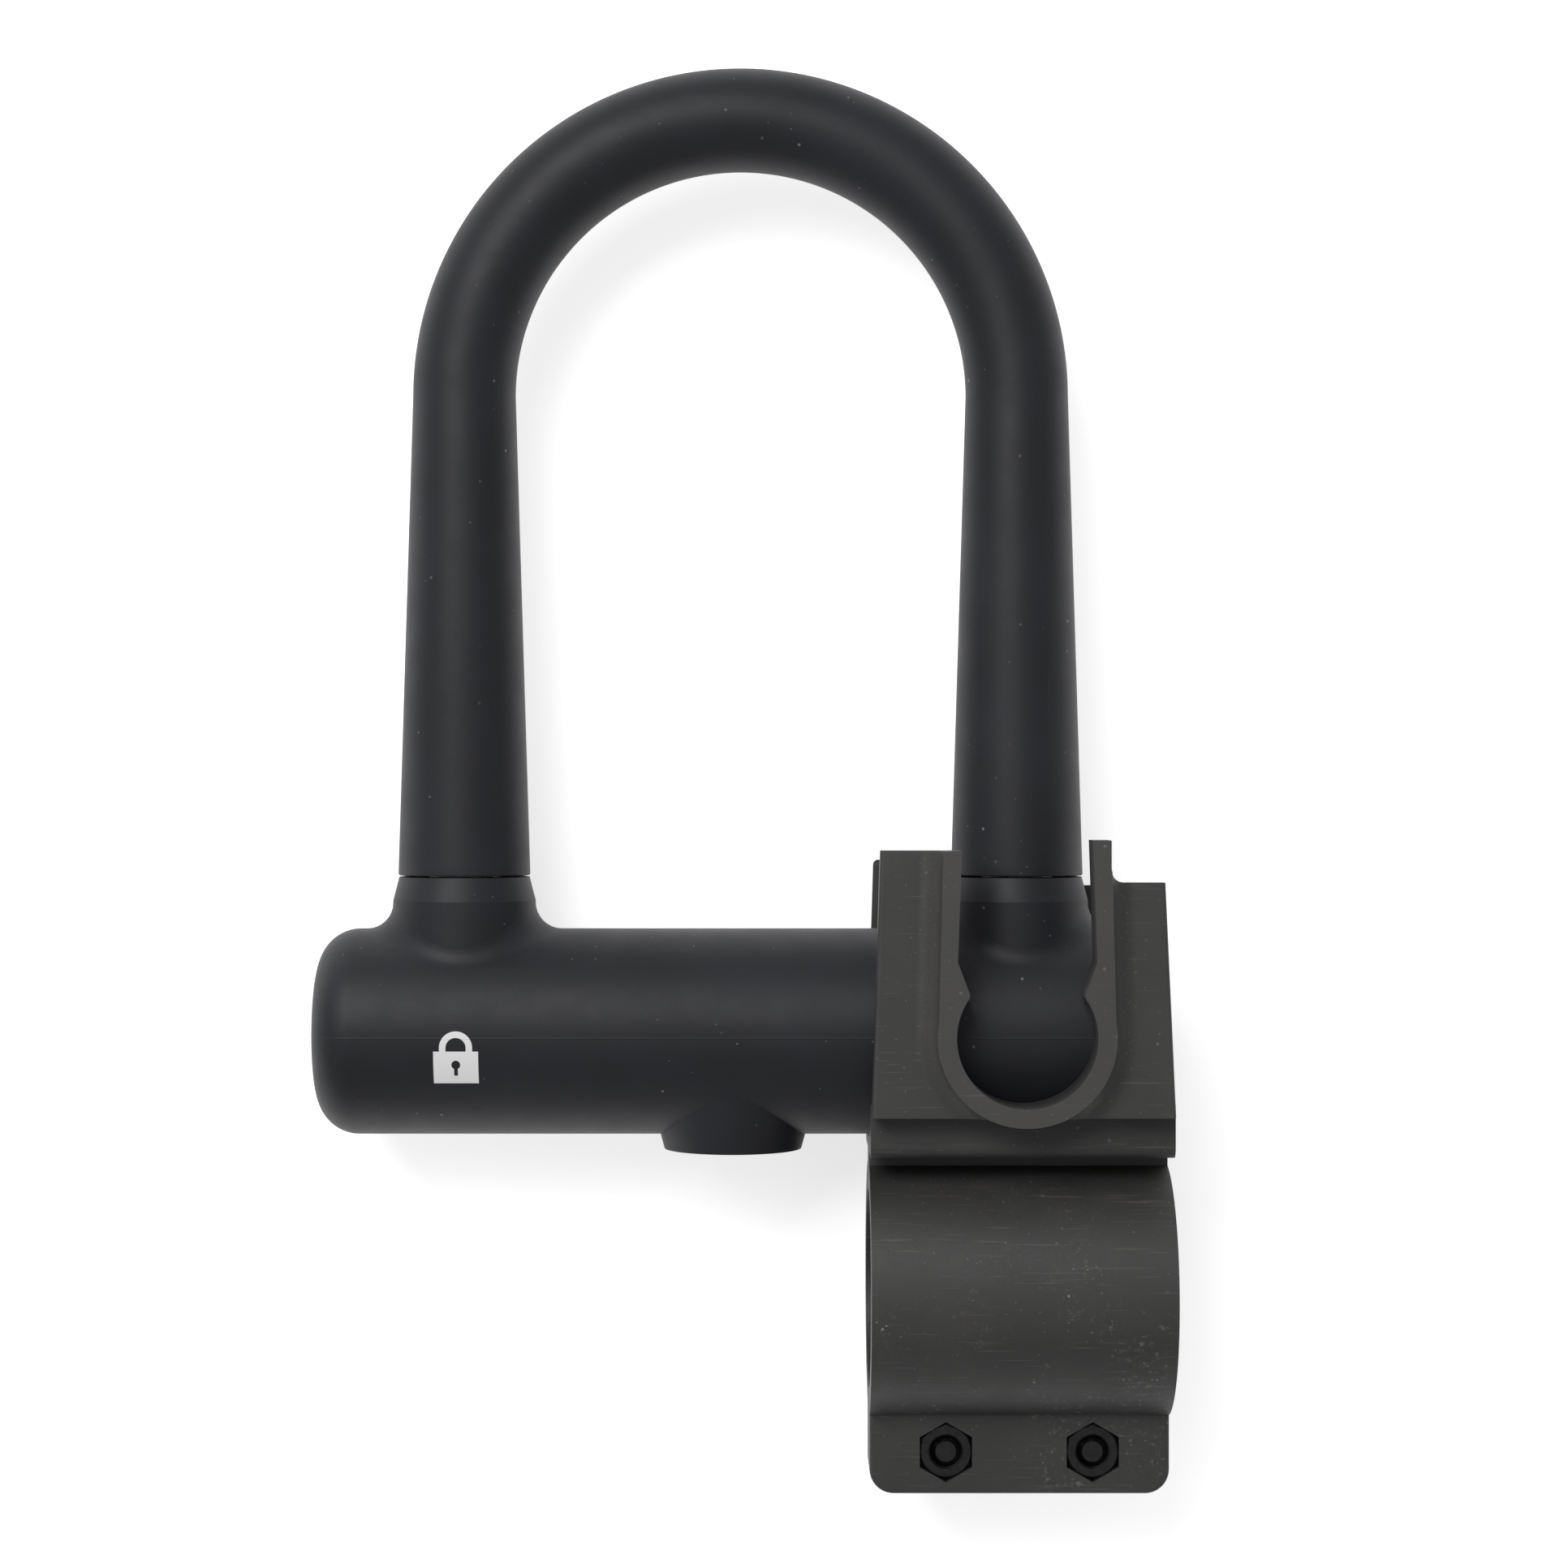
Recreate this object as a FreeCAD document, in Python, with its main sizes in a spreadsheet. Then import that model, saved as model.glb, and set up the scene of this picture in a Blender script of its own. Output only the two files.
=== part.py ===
import FreeCAD, Part
import math
import os

import Sketcher

# Bicycle U-lock seated in its frame bracket, lying on its back.
#
# Row frame, in millimetres: the origin is the centre of the frame tube that the
# bracket clamps, +X runs along that tube and along the lock's crossbar, +Y runs
# from the clamp towards the top of the U, and +Z points out of the lock's front.
# The lock's own pieces are modelled about the middle of the crossbar's axis and
# carry a Placement that seats them in the bracket.

Vector = FreeCAD.Vector
Rotation = FreeCAD.Rotation
Placement = FreeCAD.Placement

doc = FreeCAD.newDocument("u_lock")

# ---------------------------------------------------------------- driving sizes

SIZES = [
    # bracket
    ("tube_radius", 19.5, "radius of the frame tube in the clamp"),
    ("loop_wall", 5.5, "wall of the clamp loop"),
    ("loop_width", 58.4, "clamp loop along the frame tube"),
    ("loop_gap", 4.8, "web between the clamp loop and the holster channel"),
    ("flange_edge", 8.1, "clamp flange's free edge below the screws"),
    ("flange_front", 8.0, "clamp flange face from the mid-plane"),
    ("flange_corner", 4.7, "corner radius of the clamp flange"),
    ("clamp_gap", 2.0, "split of the clamp loop"),
    ("screw_spacing", 28.6, "distance between the clamp screws"),
    ("screw_clear", 6.0, "clamp screws below the clamp loop"),
    ("screw_radius", 3.0, "clamp screw thread"),
    ("screw_play", 0.3, "radial play of the screws in the flange"),
    ("screw_head_radius", 5.2, "clamp screw head"),
    ("screw_head_tall", 3.3, "clamp screw head"),
    ("hex_key", 4.0, "hex socket across flats"),
    ("nut_flats", 10.0, "clamp nut across flats"),
    ("nut_tall", 4.6, "clamp nut"),
    ("nut_recess", 0.8, "nut face below the flange face"),
    ("washer_radius", 6.0, "clamp washer"),
    ("washer_thick", 1.4, "clamp washer"),
    ("holster_play", 0.5, "radial play of the crossbar in the holster"),
    ("holster_wall", 4.3, "front and rear wall of the holster"),
    ("plate_left_low", 29.1, "plate's left edge at its foot, from the leg axis"),
    ("plate_left_high", 27.5, "plate's left edge at its top"),
    ("plate_right_low", 28.6, "plate's right edge at its foot"),
    ("plate_right_high", 26.2, "plate's right edge at its top"),
    ("foot_lift", 5.9, "plate's lower edge above the channel's floor"),
    ("plate_top", 36.0, "plate's top left of the slot, above the crossbar axis"),
    ("shoulder_top", 29.9, "plate's top right of the slot"),
    ("shoulder_round", 3.0, "corner between the shoulder and the collar's right arm"),
    ("rear_top", 33.2, "rear wall's top left of the slot"),
    ("rear_shoulder", 28.0, "rear wall's top right of the slot"),
    ("bead_under", 2.5, "lower edge of the bead below the holster channel"),
    ("bead_overlap", 2.0, "bead's upper edge above the plate's lower edge"),
    ("bead_step", 6.4, "bead face behind the plate's"),
    ("web_front", 5.0, "web between the bead and the clamp loop, from the mid-plane"),
    ("collar_stand", 5.0, "rim of the collar in front of the plate"),
    ("collar_hole", 13.3, "radius of the collar's round seat"),
    ("collar_wall", 3.65, "wall of the collar"),
    ("collar_root", 4.4, "fillet between the collar and the plate"),
    ("small_edge", 0.7, "rounding of the bracket's small edges"),
    ("rear_edge", 1.0, "rounding of the rear wall's upper and lower edge"),
    ("bead_edge", 2.2, "rounding of the bead's lower edge"),
    ("collar_top", 38.0, "top of the collar's right arm"),
    ("slot_half_top", 12.15, "half of the slot's width at its mouth"),
    ("slot_half_low", 13.1, "half of the slot's width above the pinch"),
    ("pinch_half", 10.9, "half of the width between the pinch points"),
    ("pinch_rise", 8.5, "pinch points above the seat's centre"),
    ("pinch_start", 14.3, "start of the pinch above the seat's centre"),
    ("seat_rise", 0.7, "seat's centre above the crossbar axis"),
    # crossbar
    ("sleeve_radius", 20.2, "crossbar's silicone sleeve"),
    ("end_reach", 28.9, "crossbar's end beyond the shackle leg's axis"),
    ("end_crown", 1.2, "dome of the sleeve's ends"),
    ("sleeve_corner", 8.0, "corner radius at the sleeve's ends"),
    ("end_skin", 3.0, "silicone over the crossbar's ends"),
    ("sleeve_wall", 2.7, "silicone round the crossbar tube"),
    ("tube_wall", 3.5, "crossbar tube's wall"),
    ("leg_axis", 54.4, "shackle leg's axis from the middle"),
    ("neck_radius", 12.8, "neck at its top"),
    ("neck_waist", 14.0, "neck where its flare starts"),
    ("flare_rise", 5.6, "flare's start above the sleeve"),
    ("neck_flare", 5.2, "radius of the flare into the crossbar"),
    ("neck_rise", 4.6, "top of the neck above the flare's start"),
    ("seat_gap", 0.3, "gap between pieces that part when the lock opens"),
    ("bush_wall", 2.2, "wall of the foot bush"),
    ("bush_low", 8.0, "foot bush's lower end above the crossbar axis"),
    ("plug_long", 12.0, "end plug"),
    ("fit_play", 0.05, "radial play of a running or seated fit"),
    ("end_pin_radius", 2.5, "end pin"),
    ("end_pin_sink", 0.7, "end pin's end below the tube's surface"),
    ("guide_start", 26.0, "bolt guide's inner end from the middle"),
    ("guide_long", 14.0, "bolt guide"),
    # shackle
    ("rod_radius", 7.0, "shackle steel"),
    ("arch_rise", 125.0, "centre of the arch above the crossbar axis"),
    ("foot_reach", 10.5, "foot's end below the crossbar axis"),
    ("foot_chamfer", 1.5, "chamfer of the foot's end"),
    ("notch_deep", 6.0, "notch in the foot"),
    ("cover_arch", 10.1, "shackle sleeve's radius along the arch"),
    ("cover_foot", 12.95, "shackle sleeve's radius at its foot"),
    # lock cylinder, measured along its own axis
    ("key_axis", -1.5, "cylinder axis from the middle of the crossbar"),
    ("boss_stand", 2.8, "boss face beyond the sleeve"),
    ("boss_radius", 13.5, "boss at its face"),
    ("boss_slope", 0.27, "boss cone's growth per millimetre of its height"),
    ("boss_root", 8.0, "boss cone's inner end below the crossbar axis"),
    ("bezel_radius", 12.4, "keyhole bezel"),
    ("bezel_thick", 3.2, "keyhole bezel"),
    ("bezel_recess", 1.5, "dished face of the bezel"),
    ("bezel_rim", 0.8, "rim round the dished face"),
    ("bezel_gap", 0.2, "bezel to the cylinder housing"),
    ("keyhole", 3.5, "radius of the bezel's keyhole"),
    ("housing_radius", 8.5, "cylinder housing"),
    ("housing_flange", 10.0, "flange of the cylinder housing"),
    ("housing_flange_thick", 1.4, "flange of the cylinder housing"),
    ("housing_top", 0.6, "housing's inner end above the crossbar axis"),
    ("housing_roof", 1.4, "housing's inner end wall"),
    ("core_radius", 6.45, "key core"),
    ("core_wall", 1.3, "wall of the key core"),
    ("core_recess", 1.6, "key core's front end inside the housing"),
    ("core_top", 1.0, "key core's inner end below the crossbar axis"),
    ("core_roof", 1.6, "key core's inner end wall"),
    ("tail_radius", 3.0, "key core's tail"),
    ("tail_top", 1.2, "tail's end above the crossbar axis"),
    ("tongue_wide", 5.0, "driving tongue"),
    ("tongue_thick", 2.4, "driving tongue"),
    ("tongue_top", 2.9, "tongue's end above the crossbar axis"),
    ("tongue_root", 0.5, "tongue's root inside the tail"),
    ("keyway_wide", 6.2, "keyway"),
    ("keyway_thick", 2.6, "keyway"),
    ("disc_thick", 1.4, "detainer disc"),
    ("disc_pitch", 1.9, "detainer disc to the next"),
    ("spacer_thick", 0.35, "washer between the discs"),
    ("drill_plate_thick", 1.3, "hardened front disc"),
    ("sidebar_wide", 1.2, "sidebar"),
    ("sidebar_long", 13.0, "sidebar"),
    ("sidebar_inset", 1.2, "sidebar's end from the core's end"),
    ("sidebar_play", 0.1, "play of the sidebar in its slot"),
    ("cylinder_pin_radius", 2.0, "cylinder retaining pin"),
    ("cylinder_pin_drop", 6.0, "cylinder retaining pin below the crossbar axis"),
    ("cylinder_pin_sink", 2.2, "cylinder retaining pin's end below the tube's surface"),
    ("cylinder_pin_stop", 0.9, "cylinder retaining pin to the core"),
    # bolt work
    ("cam_radius", 11.4, "drive cam"),
    ("cam_foot", 1.0, "cam's underside above the crossbar axis"),
    ("cam_thick", 5.6, "drive cam"),
    ("slot_deep", 2.4, "spiral slots in the cam"),
    ("slot_floor", 0.2, "drive pin to the slot's floor"),
    ("throw", 6.0, "deadbolt travel"),
    ("pin_start", 2.8, "drive pin from the cam's axis, bolts withdrawn"),
    ("pin_radius", 1.4, "drive pin"),
    ("pin_play", 0.25, "play of the drive pin in its slot"),
    ("bolt_radius", 5.5, "deadbolt"),
    ("bolt_gap", 0.5, "withdrawn deadbolt to the foot"),
    ("arm_thick", 2.5, "deadbolt's arm over the cam"),
    ("arm_half", 3.5, "half of the arm's width"),
    ("arm_gap", 0.3, "arm above the cam"),
    ("post_start", 12.0, "deadbolt's post from the cam's axis"),
    ("post_long", 6.0, "deadbolt's post"),
    ("arm_end_wall", 0.4, "arm's end beyond the drive pin"),
    # dust shutter
    ("shutter_pivot", 7.5, "shutter pivot from the keyhole's axis"),
    ("shutter_blade", 4.0, "shutter blade's radius"),
    ("shutter_hub", 2.4, "shutter hub's radius"),
    ("shutter_thick", 1.2, "shutter"),
    ("shutter_pin_radius", 1.0, "shutter pin"),
    ("shutter_sink", 0.1, "shutter's face inside the bezel's rim"),
]

sheet = doc.addObject("Spreadsheet::Sheet", "Sizes")
for row, (alias, value, meaning) in enumerate(SIZES, start=1):
    sheet.set(f"A{row}", alias)
    sheet.set(f"B{row}", str(value))
    sheet.setAlias(f"B{row}", alias)
    sheet.set(f"C{row}", meaning)

# Sizes that follow from the driving ones, kept in the sheet as formulas.
DERIVED = [
    ("loop_radius", "=tube_radius + loop_wall", "clamp loop's outer radius"),
    ("channel", "=sleeve_radius + holster_play", "holster channel's half-width"),
    ("loop_drop", "=loop_radius + loop_gap + channel", "frame tube axis below the crossbar axis"),
    ("screw_drop", "=loop_radius + screw_clear", "clamp screws below the tube axis"),
    ("flange_reach", "=screw_drop + flange_edge", "clamp flange's free edge below the tube axis"),
    ("bead_foot", "=channel + bead_under", "bead's lower edge below the crossbar axis"),
    ("wall_front", "=channel + holster_wall", "holster wall's outer face"),
    ("collar_front", "=wall_front + collar_stand", "rim of the collar from the mid-plane"),
    ("bead_front", "=wall_front - bead_step", "bead face from the mid-plane"),
    ("plate_foot", "=channel - foot_lift", "plate's lower edge below the crossbar axis"),
    ("sleeve_half", "=leg_axis + end_reach", "half of the crossbar's length over the sleeve"),
    ("tube_outer", "=sleeve_radius - sleeve_wall", "crossbar tube's outer radius"),
    ("neck_waist_rise", "=sleeve_radius + flare_rise", "flare's start above the crossbar axis"),
    ("neck_top", "=neck_waist_rise + neck_rise", "top of the neck above the crossbar axis"),
    ("cover_low", "=neck_top + seat_gap", "shackle sleeve's foot above the crossbar axis"),
    ("end_pin_half", "=tube_outer - end_pin_sink", "half of the end pin's length"),
    ("tube_bore", "=tube_outer - tube_wall", "crossbar tube's bore"),
    ("tube_half", "=sleeve_half - end_skin", "half of the crossbar tube's length"),
    ("bush_bore", "=rod_radius + seat_gap", "foot bush's bore"),
    ("bush_radius", "=bush_bore + bush_wall", "foot bush's outer radius"),
    ("boss_face", "=sleeve_radius + boss_stand", "boss face below the crossbar axis"),
    ("housing_foot", "=boss_face - bezel_thick - bezel_gap", "housing's front end below that axis"),
    ("core_foot", "=housing_foot - core_recess", "key core's front end below that axis"),
    ("bolt_tip", "=leg_axis - rod_radius - bolt_gap", "withdrawn deadbolt's tip"),
    ("core_bore", "=core_radius - core_wall", "key core's bore"),
    ("disc_radius", "=core_bore - fit_play", "detainer disc's radius"),
    ("cam_top", "=cam_foot + cam_thick", "cam's upper face"),
    ("arm_low", "=cam_top + arm_gap", "deadbolt arm's underside"),
    ("arm_top", "=arm_low + arm_thick", "deadbolt arm's top"),
    ("nut_face", "=flange_front - nut_recess", "nut's outer face"),
    ("nut_low", "=nut_face - nut_tall", "nut's inner face"),
    ("shutter_low", "=shutter_sink - boss_face", "shutter's outer face"),
]
for row, (alias, formula, meaning) in enumerate(DERIVED, start=len(SIZES) + 1):
    sheet.set(f"A{row}", alias)
    sheet.set(f"B{row}", formula)
    sheet.setAlias(f"B{row}", alias)
    sheet.set(f"C{row}", meaning)
doc.recompute()

ALIASES = [entry[0] for entry in SIZES + DERIVED]


# --------------------------------------------------------------------- helpers

def bound(formula):
    """Turn a formula of size names into an expression on the sheet."""
    words = str(formula).replace("(", " ( ").replace(")", " ) ").split()
    return " ".join("Sizes." + word if word in ALIASES else word for word in words)


def value(formula):
    return float(sheet.evalExpression(bound(formula)))


def bind(thing, **formulas):
    """Bind properties to formulas; a double underscore stands for a dot."""
    for name, formula in formulas.items():
        thing.setExpression(name.replace("__", "."), bound(formula))


TURNS = {
    "Z": Rotation(),
    "Y": Rotation(Vector(1, 0, 0), -90),
    "X": Rotation(Vector(0, 1, 0), 90),
}


def put(thing, x="0", y="0", z="0", along="Z"):
    thing.Placement = Placement(Vector(), TURNS[along])
    bind(thing, Placement__Base__x=x, Placement__Base__y=y, Placement__Base__z=z)
    return thing


def rod(name, radius, length, along="Z", x="0", y="0", z="0"):
    """A round bar that starts at its point and runs along a row axis."""
    thing = doc.addObject("Part::Cylinder", name)
    bind(thing, Radius=radius, Height=length)
    return put(thing, x, y, z, along)


def block(name, low, high):
    """A box between two corners, each given as three formulas."""
    thing = doc.addObject("Part::Box", name)
    sizes = [f"( {top} ) - ( {foot} )" for foot, top in zip(low, high)]
    bind(thing, Length=sizes[0], Width=sizes[1], Height=sizes[2])
    return put(thing, *low)


def fuse(name, shapes):
    thing = doc.addObject("Part::MultiFuse", name)
    thing.Shapes = shapes
    return thing


def cut(name, base, tools):
    """Take one or more shapes away from a base."""
    thing = doc.addObject("Part::Cut", name)
    thing.Base = base
    thing.Tool = tools[0] if len(tools) == 1 else fuse(name + "_tools", tools)
    return thing


def group(name, shapes):
    thing = doc.addObject("Part::Compound", name)
    thing.Links = shapes
    return thing


def new_body(name):
    return doc.addObject("PartDesign::Body", name)


def sketch(body, name, role, x="0", y="0", lift="0"):
    """A sketch on one of the body's origin planes, shifted in the plane and along its normal."""
    drawing = body.newObject("Sketcher::SketchObject", body.Name + "_" + name)
    for feature in body.Origin.OriginFeatures:
        if feature.Role == role:
            drawing.AttachmentSupport = (feature, [""])
    drawing.MapMode = "FlatFace"
    bind(drawing, AttachmentOffset__Base__x=x, AttachmentOffset__Base__y=y)
    bind(drawing, AttachmentOffset__Base__z=lift)
    return drawing


def pin_point(drawing, part, end, x, y):
    """Tie one point of a sketch to formulas for its two coordinates."""
    for kind, formula in (("DistanceX", x), ("DistanceY", y)):
        index = drawing.addConstraint(
            Sketcher.Constraint(kind, -1, 1, part, end, value(formula)))
        drawing.setExpression(f"Constraints[{index}]", bound(formula))


def outline(drawing, corners):
    """A closed polygon whose corners are pairs of formulas."""
    points = [Vector(value(x), value(y), 0) for x, y in corners]
    count = len(points)
    first = drawing.GeometryCount
    for index in range(count):
        line = Part.LineSegment(points[index], points[(index + 1) % count])
        drawing.addGeometry(line, False)
    for index in range(count):
        follower = first + (index + 1) % count
        drawing.addConstraint(Sketcher.Constraint("Coincident", first + index, 2, follower, 1))
    for index, (x, y) in enumerate(corners):
        pin_point(drawing, first + index, 1, x, y)
    return drawing


def rounded_corner(drawing, low, high, radius):
    """A rectangle between two corners whose lower left corner is an arc."""
    left, foot, right, top = value(low[0]), value(low[1]), value(high[0]), value(high[1])
    bend = value(radius)
    points = [Vector(left + bend, foot, 0), Vector(right, foot, 0), Vector(right, top, 0),
              Vector(left, top, 0), Vector(left, foot + bend, 0)]
    for start, end in zip(points, points[1:]):
        drawing.addGeometry(Part.LineSegment(start, end), False)
    circle = Part.Circle(Vector(left + bend, foot + bend, 0), Vector(0, 0, 1), bend)
    drawing.addGeometry(Part.ArcOfCircle(circle, math.pi, 1.5 * math.pi), False)
    for line in range(3):
        drawing.addConstraint(Sketcher.Constraint("Coincident", line, 2, line + 1, 1))
    drawing.addConstraint(Sketcher.Constraint("Coincident", 3, 2, 4, 1))
    drawing.addConstraint(Sketcher.Constraint("Coincident", 4, 2, 0, 1))
    pin_point(drawing, 0, 1, f"{low[0]} + {radius}", low[1])
    pin_point(drawing, 1, 1, high[0], low[1])
    pin_point(drawing, 2, 1, *high)
    pin_point(drawing, 3, 1, low[0], high[1])
    pin_point(drawing, 3, 2, low[0], f"{low[1]} + {radius}")
    number = drawing.addConstraint(Sketcher.Constraint("Radius", 4, bend))
    drawing.setExpression(f"Constraints[{number}]", bound(radius))


def ring(drawing, radius, x="0", y="0"):
    """A circle of a sketch."""
    index = drawing.addGeometry(
        Part.Circle(Vector(value(x), value(y), 0), Vector(0, 0, 1), value(radius)), False)
    number = drawing.addConstraint(Sketcher.Constraint("Radius", index, value(radius)))
    drawing.setExpression(f"Constraints[{number}]", bound(radius))
    pin_point(drawing, index, 3, x, y)
    return drawing


def feature(body, kind, drawing, length, side="One side", reverse=False):
    thing = body.newObject("PartDesign::" + kind, drawing.Name + "_" + kind.lower())
    thing.Profile = drawing
    thing.SideType = side
    thing.Reversed = reverse
    bind(thing, Length=length)
    return thing


def pad(body, drawing, length, side="One side", reverse=False):
    return feature(body, "Pad", drawing, length, side, reverse)


def pocket(body, drawing, length, side="One side", reverse=False):
    """A pocket; the volume before and after shows that it really cuts."""
    doc.recompute()
    before = body.Shape.Volume
    thing = feature(body, "Pocket", drawing, length, side, reverse)
    doc.recompute()
    if body.Shape.Volume > before - 1e-6:
        raise RuntimeError(thing.Name + " cuts nothing")
    return thing


def revolve(body, drawing, axis="V_Axis"):
    thing = body.newObject("PartDesign::Revolution", drawing.Name + "_turned")
    thing.Profile = drawing
    thing.ReferenceAxis = (drawing, [axis])
    thing.Angle = 360
    return thing


def edge_names(shape, wanted):
    """Names of the edges whose middle point passes a test."""
    names = []
    for number, edge in enumerate(shape.Edges, start=1):
        middle = edge.valueAt((edge.FirstParameter + edge.LastParameter) / 2)
        if wanted(middle, edge):
            names.append(f"Edge{number}")
    return names


def dress(body, kind, size, wanted):
    """A fillet or a chamfer on the edges that pass a test."""
    doc.recompute()
    tip = body.Tip
    names = edge_names(tip.Shape, wanted)
    if not names:
        raise RuntimeError(f"{body.Name} has no edge for its {kind}")
    thing = body.newObject("PartDesign::" + kind, f"{tip.Name}_{kind.lower()}")
    thing.Base = (tip, names)
    bind(thing, **{"Radius" if kind == "Fillet" else "Size": size})
    doc.recompute()
    if thing.Shape.isNull() or not thing.Shape.isValid():
        raise RuntimeError(f"{thing.Name} failed on {names}")
    return thing


def near(first, second, slack=0.02):
    return abs(first - second) < slack


nodes = {}


def keep(thing, label=None):
    """List an object as a sub-part; its label names its file."""
    thing.Label = label or thing.Name
    nodes[thing.Label] = thing
    return thing


def keep_in_lock(thing):
    """Seat a piece of the lock, modelled about the crossbar's middle, in the bracket."""
    bind(thing, Placement__Base__x="0 - leg_axis", Placement__Base__y="loop_drop")
    return keep(thing)


SIDES = (("left", -1), ("right", 1))


# ------------------------------------------------------------------ the shackle

def u_path(body, name, foot):
    """The U's centreline: a leg up from its foot, a half circle and a leg down."""
    path = sketch(body, name, "XY_Plane")
    leg = value("leg_axis")
    rise = value("arch_rise")
    low = value(foot)
    path.addGeometry(Part.LineSegment(Vector(leg, low, 0), Vector(leg, rise, 0)), False)
    circle = Part.Circle(Vector(0, rise, 0), Vector(0, 0, 1), leg)
    path.addGeometry(Part.ArcOfCircle(circle, 0, math.pi), False)
    path.addGeometry(Part.LineSegment(Vector(-leg, rise, 0), Vector(-leg, low, 0)), False)
    for joint in ((0, 2, 1, 1), (1, 2, 2, 1)):
        path.addConstraint(Sketcher.Constraint("Coincident", *joint))
    pin_point(path, 1, 3, "0", "arch_rise")
    pin_point(path, 0, 1, "leg_axis", foot)
    pin_point(path, 0, 2, "leg_axis", "arch_rise")
    path.addConstraint(Sketcher.Constraint("Horizontal", 2, 1, 1, 3))
    pin_point(path, 2, 2, "0 - leg_axis", foot)
    return path


def u_bar(body, name, kind, radius, foot):
    """A round section carried along the U; additive or subtractive."""
    path = u_path(body, name + "_path", foot)
    section = ring(sketch(body, name + "_section", "XZ_Plane", x="leg_axis", lift=f"0 - ( {foot} )"),
                   radius)
    bar = body.newObject("PartDesign::" + kind, f"{body.Name}_{name}")
    bar.Profile = section
    doc.recompute()
    bar.Spine = (path, ["Edge1", "Edge2", "Edge3"])


def make_shackle():
    """Bent round bar with chamfered feet and a notch in each foot's inner side."""
    body = new_body("shackle")
    u_bar(body, "bar", "AdditivePipe", "rod_radius", "0 - foot_reach")
    foot = -value("foot_reach")
    dress(body, "Chamfer", "foot_chamfer", lambda middle, edge: near(middle.y, foot))
    for side, sign in SIDES:
        inner = f"{sign} * ( leg_axis - rod_radius - seat_gap )"
        depth = f"{sign} * ( leg_axis - rod_radius + notch_deep )"
        low, high = "0 - bolt_radius - seat_gap", "bolt_radius + seat_gap"
        drawing = sketch(body, f"{side}_notch", "XY_Plane")
        outline(drawing, [(inner, low), (depth, low), (depth, high), (inner, high)])
        pocket(body, drawing, "3 * rod_radius", "Symmetric")
    keep_in_lock(body)


def make_shackle_sleeve():
    """Silicone cover: an even arch and two legs that widen towards their feet."""
    body = new_body("shackle_sleeve")
    u_bar(body, "outside", "AdditivePipe", "cover_arch", "cover_low")
    for side, sign in SIDES:
        leg = sketch(body, f"{side}_leg", "XY_Plane", x=f"{sign} * leg_axis")
        outline(leg, [("0", "cover_low"), ("cover_foot", "cover_low"),
                      ("cover_arch", "arch_rise"), ("0", "arch_rise")])
        revolve(body, leg)
    doc.recompute()
    u_bar(body, "hollow", "SubtractivePipe", "rod_radius", "cover_low")
    keep_in_lock(body)


# ----------------------------------------------------------------- the crossbar

def make_crossbar_tube():
    blank = rod("tube_blank", "tube_outer", "2 * tube_half", "X", "0 - tube_half")
    tools = [rod("tube_hollow", "tube_bore", "2 * tube_half + 4", "X", "0 - tube_half - 2")]
    for side, sign in SIDES:
        tools.append(rod(f"{side}_foot_hole", "bush_radius", "tube_outer + 2", "Y",
                         f"{sign} * leg_axis"))
        tools.append(rod(f"{side}_pin_hole", "end_pin_radius", "2 * tube_outer + 4", "Z",
                         f"{sign} * ( tube_half - plug_long / 2 )", "0", "0 - tube_outer - 2"))
    tools.append(rod("cylinder_hole", "housing_radius + fit_play", "tube_outer + 2", "Y",
                     "key_axis", "0 - tube_outer - 2"))
    tools.append(rod("cylinder_pin_hole", "cylinder_pin_radius", "tube_outer + 2", "Z",
                     "key_axis", "0 - cylinder_pin_drop", "0 - tube_outer - 2"))
    keep_in_lock(cut("crossbar_tube", blank, tools))


def crown(drawing, sign):
    """Half outline of a shallow dome: a round arc from the axis out to the sleeve's edge."""
    half, rise, reach = value("sleeve_half"), value("end_crown"), value("sleeve_radius")
    edge = Vector(sign * (half - rise), reach, 0)
    tip = Vector(sign * half, 0, 0)
    foot = Vector(sign * (half - rise), 0, 0)
    radius = (reach * reach + rise * rise) / (2 * rise)
    angle = math.asin(reach / radius) / 2
    middle = Vector(sign * (half - radius + radius * math.cos(angle)), radius * math.sin(angle), 0)
    drawing.addGeometry(Part.Arc(tip, middle, edge), False)
    drawing.addGeometry(Part.LineSegment(edge, foot), False)
    drawing.addGeometry(Part.LineSegment(foot, tip), False)
    for geometry in range(3):
        drawing.addConstraint(Sketcher.Constraint("Block", geometry))


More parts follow.
